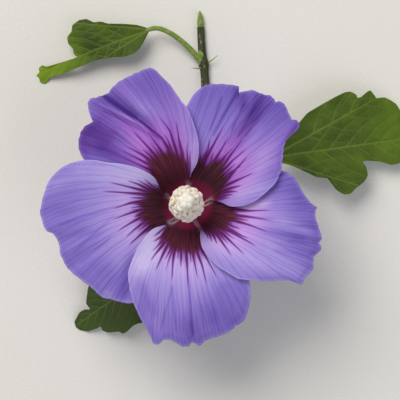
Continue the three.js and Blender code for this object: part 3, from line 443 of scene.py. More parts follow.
# A leaf's outline goes from the right of its base, round the tip and back to the left, as
# distance along and across its midrib. Its lobes are the tips of its two side veins. heights are
# those of its base, its arch and its tip, and keel is how steeply its halves rise. The sunlit patch
# is painted light, a brighter yellow-green: where it starts, where it is full, and how full. The
# dull share makes the green duller and darker, partly the leaf's own grey and partly painted shade.
LEAVES = {
    "leaf_right": {
        "node": "middle", "bud": True, "base": (26.5, 15.2), "heading": 8,
        "heights": (7, 3.2, 0.3), "keel": 0.1,
        "lobes": [(27.6, -13.4), (38.5, 15.0)], "painted_sunlight": ((20, 8), (56, 0), 0.3), "dull_and_shaded": 0.0,
        "outline": [
            (1.5, -1.6), (5.2, -2.9), (8, -4.4), (11.3, -6.6), (14.1, -8.4), (17.5, -9.3),
            (18.8, -11), (20, -13.6), (22, -15.2), (24.1, -15.3), (26.2, -13.8), (29, -12.2),
            (30.6, -10.2), (30.5, -7.6), (29.5, -5.5), (31.3, -5.4), (35.5, -6.3), (38.9, -7.8),
            (41.9, -7.6), (43.6, -6), (46.4, -6.4), (49, -5.2), (50.4, -3.4), (53.2, -2.8),
            (56.5, 0.2), (53.6, 2.2), (51.8, 4.6), (48.9, 5.4), (47.4, 7.8), (45.2, 8.4),
            (44.2, 9.9), (43.4, 11.6), (41.8, 13.1), (39.8, 14.3), (37.1, 14.4), (36.4, 15.6),
            (35.3, 17.1), (33.9, 16.6), (32, 15.4), (30.9, 15.3), (30.4, 16.5), (28.8, 17.6),
            (27, 17.6), (23.3, 16.4), (18.7, 14.6), (14, 12.6), (12.2, 11.1), (7, 6.6), (1.5, 1.8),
        ],
    },
    "leaf_lower": {
        "node": "lower", "bud": False, "base": (-7.8, -18.9), "heading": 215.6,
        "heights": (6, 2.2, 0.3), "keel": 0.08,
        "lobes": [(19, -12.6), (17, 16)], "painted_sunlight": ((10, 4), (36, 0), 0.1), "dull_and_shaded": 0.6,
        "outline": [
            (1.2, -1.2), (7, -5.2), (12.5, -8.8), (15.2, -11.4), (17.2, -12.4), (19.2, -11.2),
            (20.8, -10.8), (23.5, -8.4), (25.2, -8), (26.9, -6.3), (29, -4), (29.2, -1.7),
            (30.8, -2.6), (32.6, -2.8), (34, -2.2), (35.8, -1.3), (36.7, 0.3), (36.2, 1.9),
            (34.1, 3.9), (31, 4.8), (29.6, 4.9), (29.8, 6.5), (28.6, 8.1), (25.5, 9.8),
            (24.8, 11.1), (23.3, 11.3), (20.6, 10.9), (18.6, 11.3), (16.2, 12.6), (14.2, 15),
            (11.8, 15.6), (9.4, 12.8), (6.5, 8.6), (1.2, 1.4),
        ],
    },
    "leaf_upper": {
        "node": "upper", "bud": True, "base": (-12.8, 57.2), "heading": 200.6,
        "heights": (5.4, 2, 0.3), "keel": 0.1,
        "lobes": [(22.5, -10.6), (24, 5)], "painted_sunlight": ((20, 2), (34, 1), 0.8), "dull_and_shaded": 0.0,
        "outline": [
            (1.2, -1.2), (3.5, -2.8), (7.5, -4.6), (12, -6.4), (14, -7.8), (16.4, -8.6), (18.2, -10.4),
            (20.6, -10.9), (23.2, -10.1), (24.2, -8.4), (26.2, -7.2), (26.6, -5), (25.8, -3),
            (26, -1.4), (25, 0.2), (28, 0), (32, -0.4), (36, -0.8), (37.4, -1.8), (38.7, -1.4),
            (39, -0.2), (40.4, 0.6), (39.8, 1.6), (40, 3), (38.8, 4), (37.2, 3.4), (36.2, 2.9),
            (33, 3.2), (29, 3.4), (24, 3.3), (20, 3.2), (15.5, 4.1), (10.8, 5.5), (7.5, 5.6),
            (5, 4.6), (3, 3), (1.2, 1.3),
        ],
    },
}
PETIOLE_RADII = (1.0, 0.75)
PETIOLE_END_GAP = 0.4
PETIOLE_APPROACH = (5, -0.8)  # how far before its end it levels out, and how far below it
PETIOLE_SHOULDER = np.array([0, 1.5, 1.6])
PETIOLE_SHOULDER_AT = 0.35
BUD_LENGTH = 3.2
BUD_RADIUS = 1
BUD_PLACE = (1.4, 24, 30)  # mm ahead of its leaf, angle from straight on, angle of its rise
STIPULE_LENGTH = 5.4
STIPULE_RADIUS = 0.36
OUTER_STIPULE_PLACE = (-0.8, 58, 12)
INNER_STIPULE_PLACE = (-1.6, 40, 42)

# ---- small tools ----------------------------------------------------------------------


def lerp(a, b, share):
    return a + (b - a) * share


def smooth(x, low, high):
    """0 below low, 1 above high, with a smooth rise between."""
    t = np.clip((x - low) / (high - low), 0, 1)
    return t * t * (3 - 2 * t)


def hump(x, centre, width):
    """1 at the centre, falling off smoothly over the width."""
    return np.exp(-(((x - centre) / width) ** 2))


def polar(radius, angle):
    """The point at that radius and angle, in degrees."""
    turn = np.radians(angle)
    return np.stack([radius * np.cos(turn), radius * np.sin(turn)], -1)


def to_polar(x, y):
    """The radius and the angle, in degrees, of a point."""
    return np.hypot(x, y), np.degrees(np.arctan2(y, x))


def unit(way):
    """The same direction, 1 long."""
    return way / np.linalg.norm(way)


def in_frame(points):
    """Millimetres from the bloom's axis to metres of the frame."""
    return (np.asarray(points, float) - ORIGIN) * MM


def spline(points, share):
    """A smooth curve through the points, at shares from 0 to 1 of their number."""
    points = np.asarray(points, float)
    last = len(points) - 1
    padded = np.vstack([2 * points[0] - points[1], points, 2 * points[-1] - points[-2]])
    place = np.clip(share, 0, 1) * last
    i = np.minimum(place.astype(int), last - 1)
    t = (place - i)[..., None]
    a, b, c, d = padded[i], padded[i + 1], padded[i + 2], padded[i + 3]
    cubic = -a + 3 * b - 3 * c + d
    square = 2 * a - 5 * b + 4 * c - d
    return b + 0.5 * t * (c - a + t * (square + t * cubic))


def lengths(line):
    """Distance along a line to each of its points."""
    return np.cumsum(np.r_[0, np.linalg.norm(np.diff(line, axis=0), axis=1)])


def even_spline(points, share):
    """The same curve, at shares of its length."""
    steps = np.linspace(0, 1, 600)
    length = lengths(spline(points, steps))
    return spline(points, np.interp(np.asarray(share) * length[-1], length, steps))


def between(x, places, points):
    """Flat points for x, on the straight lines between the points at those places."""
    return np.stack([np.interp(x, places, points[:, k]) for k in (0, 1)], -1)


def wander(x, low, high, knots, seed):
    """A smooth random line between -1 and 1, with that many knots from low to high."""
    values = np.random.default_rng(seed).uniform(-1, 1, (knots, 1))
    return spline(values, (x - low) / (high - low))[..., 0]


def comb(x, count, width, seed):
    """Fine lines at uneven steps from -1 to 1: each of its own strength, and 0 between them."""
    draw = np.random.default_rng(seed)
    places = np.linspace(-1, 1, count) + draw.uniform(-0.8, 0.8, count) / count
    strengths = draw.uniform(0.35, 1, count)
    table = np.linspace(-1.1, 1.1, 6000)
    lines = (strengths[:, None] * hump(table, places[:, None], width)).max(axis=0)
    return np.interp(x, table, lines)


def strewn(draw, count, stray):
    """Places at even steps from -1 to 1, each drawn a share of a step off its own."""
    for k in range(count):
        yield -1 + 2 * (k + 0.5 + draw.uniform(-stray, stray)) / count


def to_stretch(points, start, end):
    """Distance from each point to the stretch, and the share of the stretch next to it."""
    way = end - start
    share = np.clip((points - start) @ way / (way @ way), 0, 1)
    return np.linalg.norm(points - start - share[:, None] * way, axis=1), share


# ---- materials ------------------------------------------------------------------------


def colour(code):
    """An sRGB hex colour as linear red, green, blue and alpha."""
    channels = [int(code[i : i + 2], 16) / 255 for i in (1, 3, 5)]
    linear = [c / 12.92 if c <= 0.04045 else ((c + 0.055) / 1.055) ** 2.4 for c in channels]
    return (*linear, 1)


def node(tree, kind, inputs=None, ramp=None, out=0, **settings):
    """Adds a node and gives its output: inputs are values or sockets to link from, ramp the
    stops of a colour ramp, out the output's name or number, and the rest the node's settings."""
    made = tree.nodes.new("ShaderNode" + kind)
    for key, value in settings.items():
        setattr(made, key, value)
    for key, value in (inputs or {}).items():
        if isinstance(value, bpy.types.NodeSocket):
            tree.links.new(value, made.inputs[key])
        else:
            made.inputs[key].default_value = value
    if ramp:
        stops = made.color_ramp.elements
        while len(stops) < len(ramp):
            stops.new(0.5)
        for stop, (place, code) in zip(stops, ramp):
            stop.position = place
            stop.color = colour(code)
    return made.outputs[out] if made.outputs else None


def start_material(name):
    """A new material with no nodes, and its tree."""
    made = bpy.data.materials.new(name)
    made.use_nodes = True
    made.node_tree.nodes.clear()
    return made, made.node_tree


def finish_material(made, inputs):
    """Gives the material one Principled shader with these inputs."""
    shader = node(made.node_tree, "BsdfPrincipled", inputs)
    node(made.node_tree, "OutputMaterial", {"Surface": shader})
    return made


def painted(tree, *names):
    """The fields that paint() has put on the mesh."""
    return [node(tree, "Attribute", out="Fac", attribute_name=name) for name in names]


def petal_material():
    # A living petal: a thin sheet of tiny domed cells. It scatters light like velvet, so there is
    # hardly a highlight, and fine lines run along the veins. Violet, purple, maroon and crimson
    # lie in the cells themselves, so each is a field painted on the mesh, and they melt together.
    made, tree = start_material("rose_of_sharon_petal")
    names = ("tone", "pink", "streak", "eye", "glow", "edge", "outside")
    tone, pink, streak, eye, glow, edge, outside = painted(tree, *names)
    along_veins = node(tree, "UVMap", uv_map="veins")
    # 0.35 mm lines across the veins, drawn some 10 mm long
    stretched = node(tree, "Mapping", {"Vector": along_veins, "Scale": (110.0, 5.0, 1.0)})
    satin = node(tree, "TexNoise", {"Vector": stretched, "Scale": 1.0, "Detail": 3.0})
    # cells of 0.4 mm, drawn coarser than the real ones so that they show
    place = node(tree, "TexCoord", out="Object")
    cells = node(tree, "TexNoise", {"Vector": place, "Scale": 2600.0, "Detail": 2.0})
    uneven = {"Fac": node(tree, "Math", {0: satin, 1: 0.15, 2: tone}, operation="MULTIPLY_ADD")}
    quarters = (0.0, 0.25, 0.5, 0.75, 1.0)
    bluish_shades = zip(quarters, ("#ccc0f2", "#ae9ee4", "#8a77ce", "#6650b0", "#422c8a"))
    pinkish_shades = zip(quarters, ("#dfb8f4", "#c48ee4", "#a465cc", "#803fa6", "#521c7c"))
    bluish = node(tree, "ValToRGB", uneven, list(bluish_shades))
    pinkish = node(tree, "ValToRGB", uneven, list(pinkish_shades))
    ink = [(0.2, "#8a3cbe"), (0.55, "#6a1a90"), (0.95, "#480c56")]
    purple = node(tree, "ValToRGB", {"Fac": streak}, ink)
    inked = node(tree, "MapRange", {"Value": streak, "From Max": 0.72})
    # brown lines in the maroon: 0.5 mm wide and some 12 mm long
    lined = node(tree, "Mapping", {"Vector": along_veins, "Scale": (44.0, 4.0, 1.0)})
    lines = node(tree, "TexNoise", {"Vector": lined, "Scale": 1.0, "Detail": 3.0})
    wine = [(0.36, "#280d15"), (0.5, "#3c1723"), (0.64, "#5f2d3a")]
    maroon = node(tree, "ValToRGB", {"Fac": lines}, wine)
    # from the violet to the eye by way of a vivid purple
    halo = node(tree, "MapRange", {"Value": eye, "From Max": 0.4, "To Max": 0.85})
    core = node(tree, "MapRange", {"Value": eye, "From Min": 0.3, "From Max": 0.9})
    # the outer face is paler, and its own pigment is thin
    thin = node(tree, "Math", {0: outside, 1: 0.35}, operation="MULTIPLY")
    tint = bluish
    for share, over in [
        (pink, pinkish),
        (inked, purple),
        (halo, colour("#741e82")),
        (core, maroon),
        (glow, colour("#a01c54")),
        (edge, colour("#f2cbe2")),
        (thin, colour("#ad9cd2")),
    ]:
        tint = node(tree, "Mix", {0: share, 6: tint, 7: over}, out=2, data_type="RGBA")
    fine = node(tree, "Math", {0: cells, 1: 0.35, 2: satin}, operation="MULTIPLY_ADD")
    relief = {"Height": fine, "Strength": 0.35, "Distance": 0.00012}
    inputs = {
        "Base Color": tint,
        "Roughness": node(tree, "MapRange", {"Value": cells, "To Min": 0.55, "To Max": 0.75}),
        "IOR": 1.4,
        "Specular IOR Level": 0.35,
        "Sheen Weight": 0.08,
        "Sheen Roughness": 0.5,
        "Sheen Tint": colour("#d9c8f5"),
        "Subsurface Weight": 0.1,
        "Subsurface Radius": (1.0, 0.7, 1.2),
        "Subsurface Scale": 0.0004,
        "Normal": node(tree, "Bump", relief),
    }
    return finish_material(made, inputs)


def plain_material(name, code, roughness):
    """One even colour, for pieces that join many small things."""
    made, _ = start_material(name)
    inputs = {
        "Base Color": colour(code),
        "Roughness": roughness,
        "IOR": 1.42,
        "Sheen Weight": 0.15,
        "Subsurface Weight": 0.2,
        "Subsurface Radius": (1.0, 0.8, 0.6),
        "Subsurface Scale": 0.0006,
    }
    return finish_material(made, inputs)


def plant_material(name, codes, grain, roughness, bump, sheen=0.0, mixed=None):
    """Plain plant tissue: three shades in patches with a grain in mm, a fine bump, and, where
    mixed names an attribute and a colour, one more colour painted over them."""
    made, tree = start_material(name)
    place = node(tree, "TexCoord", out="Object")
    patchy = node(tree, "TexNoise", {"Vector": place, "Scale": 1000 / grain, "Detail": 4.0})
    base = node(tree, "ValToRGB", {"Fac": patchy}, list(zip((0.3, 0.5, 0.72), codes)))
    if mixed:
        (field,) = painted(tree, mixed[0])
        over = colour(mixed[1])
        base = node(tree, "Mix", {0: field, 6: base, 7: over}, out=2, data_type="RGBA")
    fine = node(tree, "TexNoise", {"Vector": place, "Scale": 4000 / grain, "Detail": 2.0})
    relief = {"Height": fine, "Strength": bump, "Distance": grain * MM / 8}
    rough = {"Value": fine, "To Min": roughness - 0.08, "To Max": roughness + 0.08}
    inputs = {
        "Base Color": base,
        "Roughness": node(tree, "MapRange", rough),
        "IOR": 1.42,
        "Sheen Weight": sheen,
        "Subsurface Weight": 0.1,
        "Subsurface Radius": (1.0, 0.8, 0.5),
        "Subsurface Scale": 0.0006,
        "Normal": node(tree, "Bump", relief),
    }
    return finish_material(made, inputs)


def leaf_material():
    # A leaf blade: a waxy skin over soft green tissue. The skin gives a broad satin highlight,
    # the net of small veins dimples it, the main veins are paler, and the underside is greyer.
    # Painted sunlight brightens some stretches to a yellow-green, and a duller, darker green on the
    # lower leaf is partly painted shade.
    made, tree = start_material("rose_of_sharon_leaf")
    vein, under, painted_sunlight, dull_and_shaded = painted(tree, "vein", "under", "painted_sunlight", "dull_and_shaded")
    place = node(tree, "TexCoord", out="Object")
    # the net of small veins: meshes of about 1.1 mm
    mesh = {"Vector": place, "Scale": 900.0}
    net = node(tree, "TexVoronoi", mesh, out="Distance", feature="DISTANCE_TO_EDGE")
    rims = {"Value": net, "From Max": 0.14, "To Min": 1.0, "To Max": 0.0}
    lines = node(tree, "MapRange", rims)
    faint = node(tree, "Math", {0: lines, 1: 0.15}, operation="MULTIPLY")
    patchy = node(tree, "TexNoise", {"Vector": place, "Scale": 130.0, "Detail": 4.0})
    greens = [(0.3, "#36490f"), (0.5, "#435814"), (0.7, "#526a18")]
    tint = node(tree, "ValToRGB", {"Fac": patchy}, greens)
    for share, code in [
        # painted light: sunlit stretches in a brighter yellow-green
        (painted_sunlight, "#80a01e"),
        # a duller, darker green: partly the leaf's own grey, partly painted shade
        (dull_and_shaded, "#384430"),
        (faint, "#708a2c"),
        (vein, "#7c923a"),
        (under, "#93a66c"),
    ]:
        laid = {0: share, 6: tint, 7: colour(code)}
        tint = node(tree, "Mix", laid, out=2, data_type="RGBA")
    inputs = {
        "Base Color": tint,
        "Roughness": node(tree, "MapRange", {"Value": patchy, "To Min": 0.58, "To Max": 0.74}),
        "IOR": 1.45,
        "Specular IOR Level": 0.3,
        "Subsurface Weight": 0.08,
        "Subsurface Radius": (0.6, 1.0, 0.3),
        "Subsurface Scale": 0.0005,
        "Normal": node(tree, "Bump", {"Height": net, "Strength": 0.4, "Distance": 0.0003}),
    }
    return finish_material(made, inputs)


def bark_material():
    # Young bark: green skin turning brown, finely ridged lengthways, with pale corky pores. The
    # cut end shows pale wood round a white pith.
    made, tree = start_material("young_hibiscus_bark")
    pore, cut, core = painted(tree, "pore", "cut", "core")
    place = node(tree, "TexCoord", out="Object")
    # ridges 0.3 mm wide and some 6 mm long, along the shoot
    stretched = node(tree, "Mapping", {"Vector": place, "Scale": (3200.0, 160.0, 3200.0)})
    ridges = node(tree, "TexNoise", {"Vector": stretched, "Scale": 1.0, "Detail": 4.0})
    skins = [(0.3, "#242d16"), (0.5, "#343e20"), (0.72, "#50552f")]
    woods = [(0.3, "#f0ecd8"), (0.42, "#d9dca6"), (0.8, "#c3cc86"), (0.92, "#7d8c4a")]
    tint = node(tree, "ValToRGB", {"Fac": ridges}, skins)
    wood = node(tree, "ValToRGB", {"Fac": core}, woods)
    for share, over in [(pore, colour("#c2b48c")), (cut, wood)]:
        tint = node(tree, "Mix", {0: share, 6: tint, 7: over}, out=2, data_type="RGBA")
    relief = node(tree, "Bump", {"Height": ridges, "Strength": 0.5, "Distance": 0.00015})
    inputs = {"Base Color": tint, "Roughness": 0.68, "IOR": 1.45, "Normal": relief}
    return finish_material(made, inputs)


PETAL = petal_material()
LEAF = leaf_material()
BARK = bark_material()
# Downy green skin: soft, dull and a little uneven.
CALYX = plant_material(
    "downy_calyx_skin", ("#708c42", "#86a052", "#a0b56a"), 1.6, 0.75, 0.35, 0.25, ("rib", "#b4c487")
)
# Young green stalk skin, smooth under short hairs.
STALK = plant_material("green_stalk_skin", ("#667f36", "#7b9341", "#94a853"), 1.2, 0.62, 0.3, 0.15)
# The tube of joined filaments: smooth moist tissue, cream with a blush at its foot.
FILAMENT = plant_material(
    "cream_filament_tube", ("#efe4cf", "#f4ecda", "#faf5e8"), 2.0, 0.5, 0.15, 0.0, ("foot", "#c98aa6")
)
# Anthers that have opened: dull sacs dusted with pollen. Most are cream, the lower ones blush at
# their tips, and a few are spent and ochre.
ANTHERS = {
    "cream_anthers": plain_material("open_cream_anther", "#f7edda", 0.8),
    "blushing_anthers": plain_material("open_blushing_anther", "#fbece2", 0.75),
    "spent_anthers": plain_material("spent_ochre_anther", "#cdb48e", 0.85),
}
# Free filaments: slender moist threads, cream.
THREAD = plain_material("cream_filament_thread", "#f3e9d8", 0.5)
# Pollen: round spiny grains, chalk-dull and near white.
POLLEN = plain_material("hibiscus_pollen", "#fbf4e2", 0.85)
# Stigma lobes: velvety with fine papillae, near white.
STIGMA = plain_material("velvety_stigma", "#faf5e8", 0.85)
# Short plant hairs: clear, so they read as a pale shine.
DOWN = plain_material("plant_down", "#e8dfe8", 0.5)

# ---- making pieces --------------------------------------------------------------------


def read(items, name):
    """The vector that each item of a mesh holds under that name."""
    flat = np.empty(len(items) * 3)
    items.foreach_get(name, flat)
    return flat.reshape(-1, 3)


def add(primitive, **sizes):
    """A new primitive, with everything else deselected first."""
    bpy.ops.object.select_all(action="DESELECT")
    primitive(**sizes)
    return bpy.context.object


def add_grid(name, columns, rows):
    """A flat unit grid to be shaped, and each vertex's own place on it, from 0 to 1."""
    piece = add(bpy.ops.mesh.primitive_grid_add, x_subdivisions=columns, y_subdivisions=rows, size=1)
    piece.name = name
    u, v, _ = read(piece.data.vertices, "co").T + 0.5
    return piece, u, v


def move_to(piece, points):
    """Moves every vertex to its point, given in millimetres from the bloom's axis."""
    piece.data.vertices.foreach_set("co", in_frame(points).ravel())
    piece.data.update()


def paint(piece, name, values):
    """A field on the vertices, which the materials read by its name."""
    layer = piece.data.attributes.new(name, "FLOAT", "POINT")
    layer.data.foreach_set("value", np.asarray(values, np.float32))


def finish_sheet(piece, material, thickness):
    """Gives a sheet its material and a wall, half of it on each side, and says how far each
    vertex then faces down, from -1 to 1."""
    piece.data.materials.append(material)
    wall = piece.modifiers.new("wall", "SOLIDIFY")
    wall.thickness = thickness * MM
    wall.offset = 0
    bpy.ops.object.modifier_apply(modifier=wall.name)
    bpy.ops.object.shade_smooth()
    return -read(piece.data.vertex_normals, "vector")[:, 2]


def finish_tube(piece, material):
    """Joins a rolled grid along its seam and at its poles, with its faces turned out."""
    bpy.ops.object.mode_set(mode="EDIT")
    bpy.ops.mesh.select_all(action="SELECT")
    bpy.ops.mesh.remove_doubles(threshold=1e-6)
    bpy.ops.mesh.normals_make_consistent(inside=False)
    bpy.ops.object.mode_set(mode="OBJECT")
    piece.data.materials.append(material)
    bpy.ops.object.shade_smooth()


def end_caps(v, rows):
    """Shares of a tube's radius: 0 in its first and last row, so that both ends close."""
    return np.minimum(1, np.minimum(v, 1 - v) * rows)


def tube_points(path, radius, u, v, side, flat):
    """Points round (u) and along (v) a path; radius holds one number for each point."""
    step = 1e-3
    centre = even_spline(path, v)
    ahead = even_spline(path, np.minimum(v + step, 1)) - even_spline(path, np.maximum(v - step, 0))
    ahead /= np.linalg.norm(ahead, axis=1)[:, None]
    across = np.cross(ahead, np.asarray(side, float))
    across /= np.linalg.norm(across, axis=1)[:, None]
    up = np.cross(across, ahead)
    turn = 2 * np.pi * u
    round_ = across * (radius * np.cos(turn))[:, None]
    return centre + round_ + up * (radius * flat * np.sin(turn))[:, None]


def add_tube(name, path, radius_at, sides, steps, material=STALK, side=(0, 0, 1), flat=1.0):
    """A closed tube along a path. radius_at takes the two shares, round and along. The section
    is turned so that one of its axes is square to side, and flat squeezes the other."""
    piece, u, v = add_grid(name, sides, steps)
    radius = radius_at(u, v) * end_caps(v, steps)
    move_to(piece, tube_points(path, radius, u, v, side, flat))
    finish_tube(piece, material)
    return piece


def keep(piece, slot, *nodes):
    """The piece rides on the sprig's one body and stands for these nodes of the frame."""
    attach(piece, "root")
    if nodes:
        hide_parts(*nodes)


def place_object(name, data):
    """A new object of the scene."""
    made = bpy.data.objects.new(name, data)
    bpy.context.scene.collection.objects.link(made)
    return made


def copies(name, model, places, material):
    """Many copies of one small model in one mesh. Each place is a 3x3 turn and a point in mm."""
    points = read(model.data.vertices, "co")
    faces = [tuple(face.vertices) for face in model.data.polygons]
    made = bpy.data.meshes.new(name)
    turns = np.array([turn for turn, _ in places])
    spots = np.array([spot for _, spot in places])
    moved = np.einsum("nij,pj->npi", turns, points) + in_frame(spots)[:, None, :]
    count = len(points)
    joined = [tuple(i + k * count for i in face) for k in range(len(places)) for face in faces]
    made.from_pydata(moved.reshape(-1, 3).tolist(), [], joined)
    made.shade_smooth()
    made.materials.append(material)
    return place_object(name, made)


def turn_to(direction, roll):
    """A 3x3 turn that brings +Z onto the direction, rolled about it by an angle in radians."""
    turned = Vector(direction).to_track_quat("Z", "Y").to_matrix()
    c, s = math.cos(roll), math.sin(roll)
    return np.array(turned) @ np.array([[c, -s, 0], [s, c, 0], [0, 0, 1]])


# ---- the bloom ------------------------------------------------------------------------


def bloom_point(x, y, z, bend=0.0):
    """The bloom's own heights to the sprig's: the whole bloom leans along the shoot."""
    more = polar(np.maximum(0, z - COLUMN_BENDS_FROM) * bend, COLUMN_LEANS_TO)
    lean = (z - FUNNEL_DEPTH) * BLOOM_LEAN
    return np.stack([x + more[..., 0], y + lean + more[..., 1], z + RECEPTACLE_Z], -1)


def column_point(radius, turn, z):
    """A point that far from the column's own line, at an angle in radians round it."""
    return bloom_point(radius * np.cos(turn), radius * np.sin(turn), z, COLUMN_LEAN)


def funnel_height(r):
    return FUNNEL_DEPTH * (1 - np.exp(-(r - THROAT_RADIUS) / FUNNEL_FLARE))


def funnel_radius(z):
    return THROAT_RADIUS - FUNNEL_FLARE * np.log(1 - z / FUNNEL_DEPTH)


def petal_margin(petal, across, seed):
    """The end of each vein on the petal's margin, with the rim's notches and fine unevenness."""
    rim_angles, rim_radii = np.array(petal["rim"]).T
    clockwise, other = petal["claw"]
    ends = [np.array([CLAW_END + 0.1, -clockwise])]
    ends += [polar(r, a) for r, a in zip(SIDE_RADII, petal["side"])]
    ends += [polar(np.interp(a, rim_angles, rim_radii), a) for a in RIM_ANGLES]
    ends += [polar(r, a) for r, a in petal.get("hidden", HIDDEN_SIDE)[::-1]]
    ends += [np.array([CLAW_END + 0.1, other])]
    radius, angle = to_polar(*spline(ends, (across + 1) / 2).T)
    outer = smooth(radius, *RIM_BLEND)
    fine = np.interp(angle, rim_angles, rim_radii)
    rough = RIM_ROUGHNESS * wander(across, -1, 1, 90, seed) * outer
    return polar(lerp(radius, fine, outer) + rough, angle)


def petal_plan(petal, across, v, seed):
    """Places along and across the petal's axis: a narrow claw, then veins that fan out."""
    end = petal_margin(petal, across, seed)
    reach = np.hypot(end[:, 0], end[:, 1])
    in_claw = np.clip(v / CLAW_SHARE, 0, 1)
    t = np.clip((v - CLAW_SHARE) / (1 - CLAW_SHARE), 0, 1)
    half = lerp(CLAW_FOOT_HALF_WIDTH, np.where(across < 0, *petal["claw"]), in_claw)
    middle = CLAW_END + (reach - CLAW_END) / 2
    along = (1 - t) ** 2 * CLAW_END + 2 * t * (1 - t) * middle + t**2 * end[:, 0]
    along = np.where(in_claw < 1, lerp(CLAW_START, CLAW_END, in_claw), along)
    return along, (1 - t**2) * half * across + t**2 * end[:, 1]


def sheet_height(petal, r, angle):
    """Height of the plain petal: the funnel, turned so that the clockwise side lies on top of
    the next petal, and drooping towards the rim."""
    twist = smooth(r, *TWIST_STARTS) * PETAL_TWIST * angle / (PETAL_SPACING / 2)
    droop = petal["droop"] * (np.maximum(0, r - RIM_FROM) / RIM_SPAN) ** 2
    return funnel_height(r) - twist - droop


def fold_heights(petal, across, r):
    height = np.zeros_like(r)
    for near, far, deep, wide, start in petal["folds"]:
        at = lerp(far, near, np.exp(-(r - FOLD_NEAR) / FOLD_DRIFT))
        height += deep * hump(across, at, wide) * smooth(r, start, start + FOLD_RISE)
    return height


def to_line(plan, places):
    """Distance of each point of the plan from a bent line, and the share of it next to that."""
    ends = [polar(r, a) for r, a in places]
    nearest = np.full(len(plan), np.inf)
    share = np.zeros(len(plan))
    for k, (start, end) in enumerate(zip(ends, ends[1:])):
        apart, part = to_stretch(plan, start, end)
        closer = apart < nearest
        nearest = np.where(closer, apart, nearest)
        share = np.where(closer, (k + part) / (len(ends) - 1), share)
    return nearest, share


def petal_streaks(petal, plan):
    """Dark veins that run out of the eye: broad at their root, fading to a fine tip."""
    streak = np.zeros(len(plan))
    for strength, *places in petal["streaks"]:
        root, root_angle = places[0]
        apart, share = to_line(plan, [(root - STREAK_ROOT, root_angle), *places])
        width = lerp(0.4, 1, strength) * lerp(*STREAK_HALF_WIDTHS, smooth(share, 0.3, 1))
        fade = lerp(1, 0.7, smooth(share, 0.4, 0.9)) * (1 - smooth(share, 0.85, 1.0))
        streak = np.maximum(streak, min(1, STREAK_INK * strength) * fade * hump(apart, 0, width))
    return streak


def petal_strokes(petal, plan):
    """Soft lines of a deeper or paler shade, and of pinker or bluer violet. Some are painted shade
    in creases, under a neighbouring petal's margin and under curled rims, and some paler ones are
    painted highlights along the ridges of folds; the rest are the petal's own bands.
    """
    deeper = np.zeros(len(plan))
    pinker = np.zeros(len(plan))
    for start, end, width, deep, pink in petal["strokes"]:
        apart, share = to_line(plan, [start, end])
        soft = smooth(share, -0.3, 0.2) * (1 - smooth(share, 0.8, 1.3)) * hump(apart, 0, width)
        deeper += deep * soft
        pinker += pink * soft
    return deeper, pinker


def petal_flow(petal, r, angle):
    """The vein that each point lies on, from -1 to 1 across the petal. Flow holds how fast the
    veins swing round as they run outwards, in degrees per mm, and how fast they part."""
    swing, part = petal["flow"]
    still = swing / part
    vein_angle = (angle + still) * np.exp(-part * (r - VEIN_FLOW_FROM)) - still
    return vein_angle / VEIN_HALF_SPAN


def vein_line(vein, r, at, half_width):
    """1 along the vein at that place across the petal, and 0 off it."""
    return hump((vein - at) * math.radians(VEIN_HALF_SPAN) * r, 0, half_width)


def petal_veins(vein, r, seed):
    """The net of veins, 0 between them: main ones that fork once, and fine ones in between."""
    draw = np.random.default_rng(seed)
    main = np.zeros_like(r)
    for at in strewn(draw, MAIN_VEINS, 0.3):
        fork_at = draw.uniform(22, 32)
        spread = draw.uniform(0.012, 0.024) * smooth(r, fork_at, fork_at + 12)
        strength = draw.uniform(0.5, 1)
        for branch in (at - spread, at + spread):
            main = np.maximum(main, strength * vein_line(vein, r, branch, MAIN_VEIN_HALF_WIDTH))
    fine = np.zeros_like(r)
    for at in strewn(draw, FINE_VEINS, 0.4):
        starts = draw.uniform(12, 30)
        strength = draw.uniform(0.2, 1) * smooth(r, starts, starts + 5)
        fine = np.maximum(fine, strength * vein_line(vein, r, at, FINE_VEIN_HALF_WIDTH))
    return main, fine


def eye_fringe(vein, r, reach, seed):
    """Short purple hairlines that fray the edge of the eye."""
    draw = np.random.default_rng(seed)
    line = np.zeros_like(r)
    for at in strewn(draw, FRINGE_LINES, 0.5):
        length = draw.uniform(*FRINGE_LENGTHS)
        strength = draw.uniform(0.2, 0.65)
        fade = 1 - smooth(r - reach, 0.1 * length, length)
        line = np.maximum(line, strength * fade * vein_line(vein, r, at, MAIN_VEIN_HALF_WIDTH))
    return line


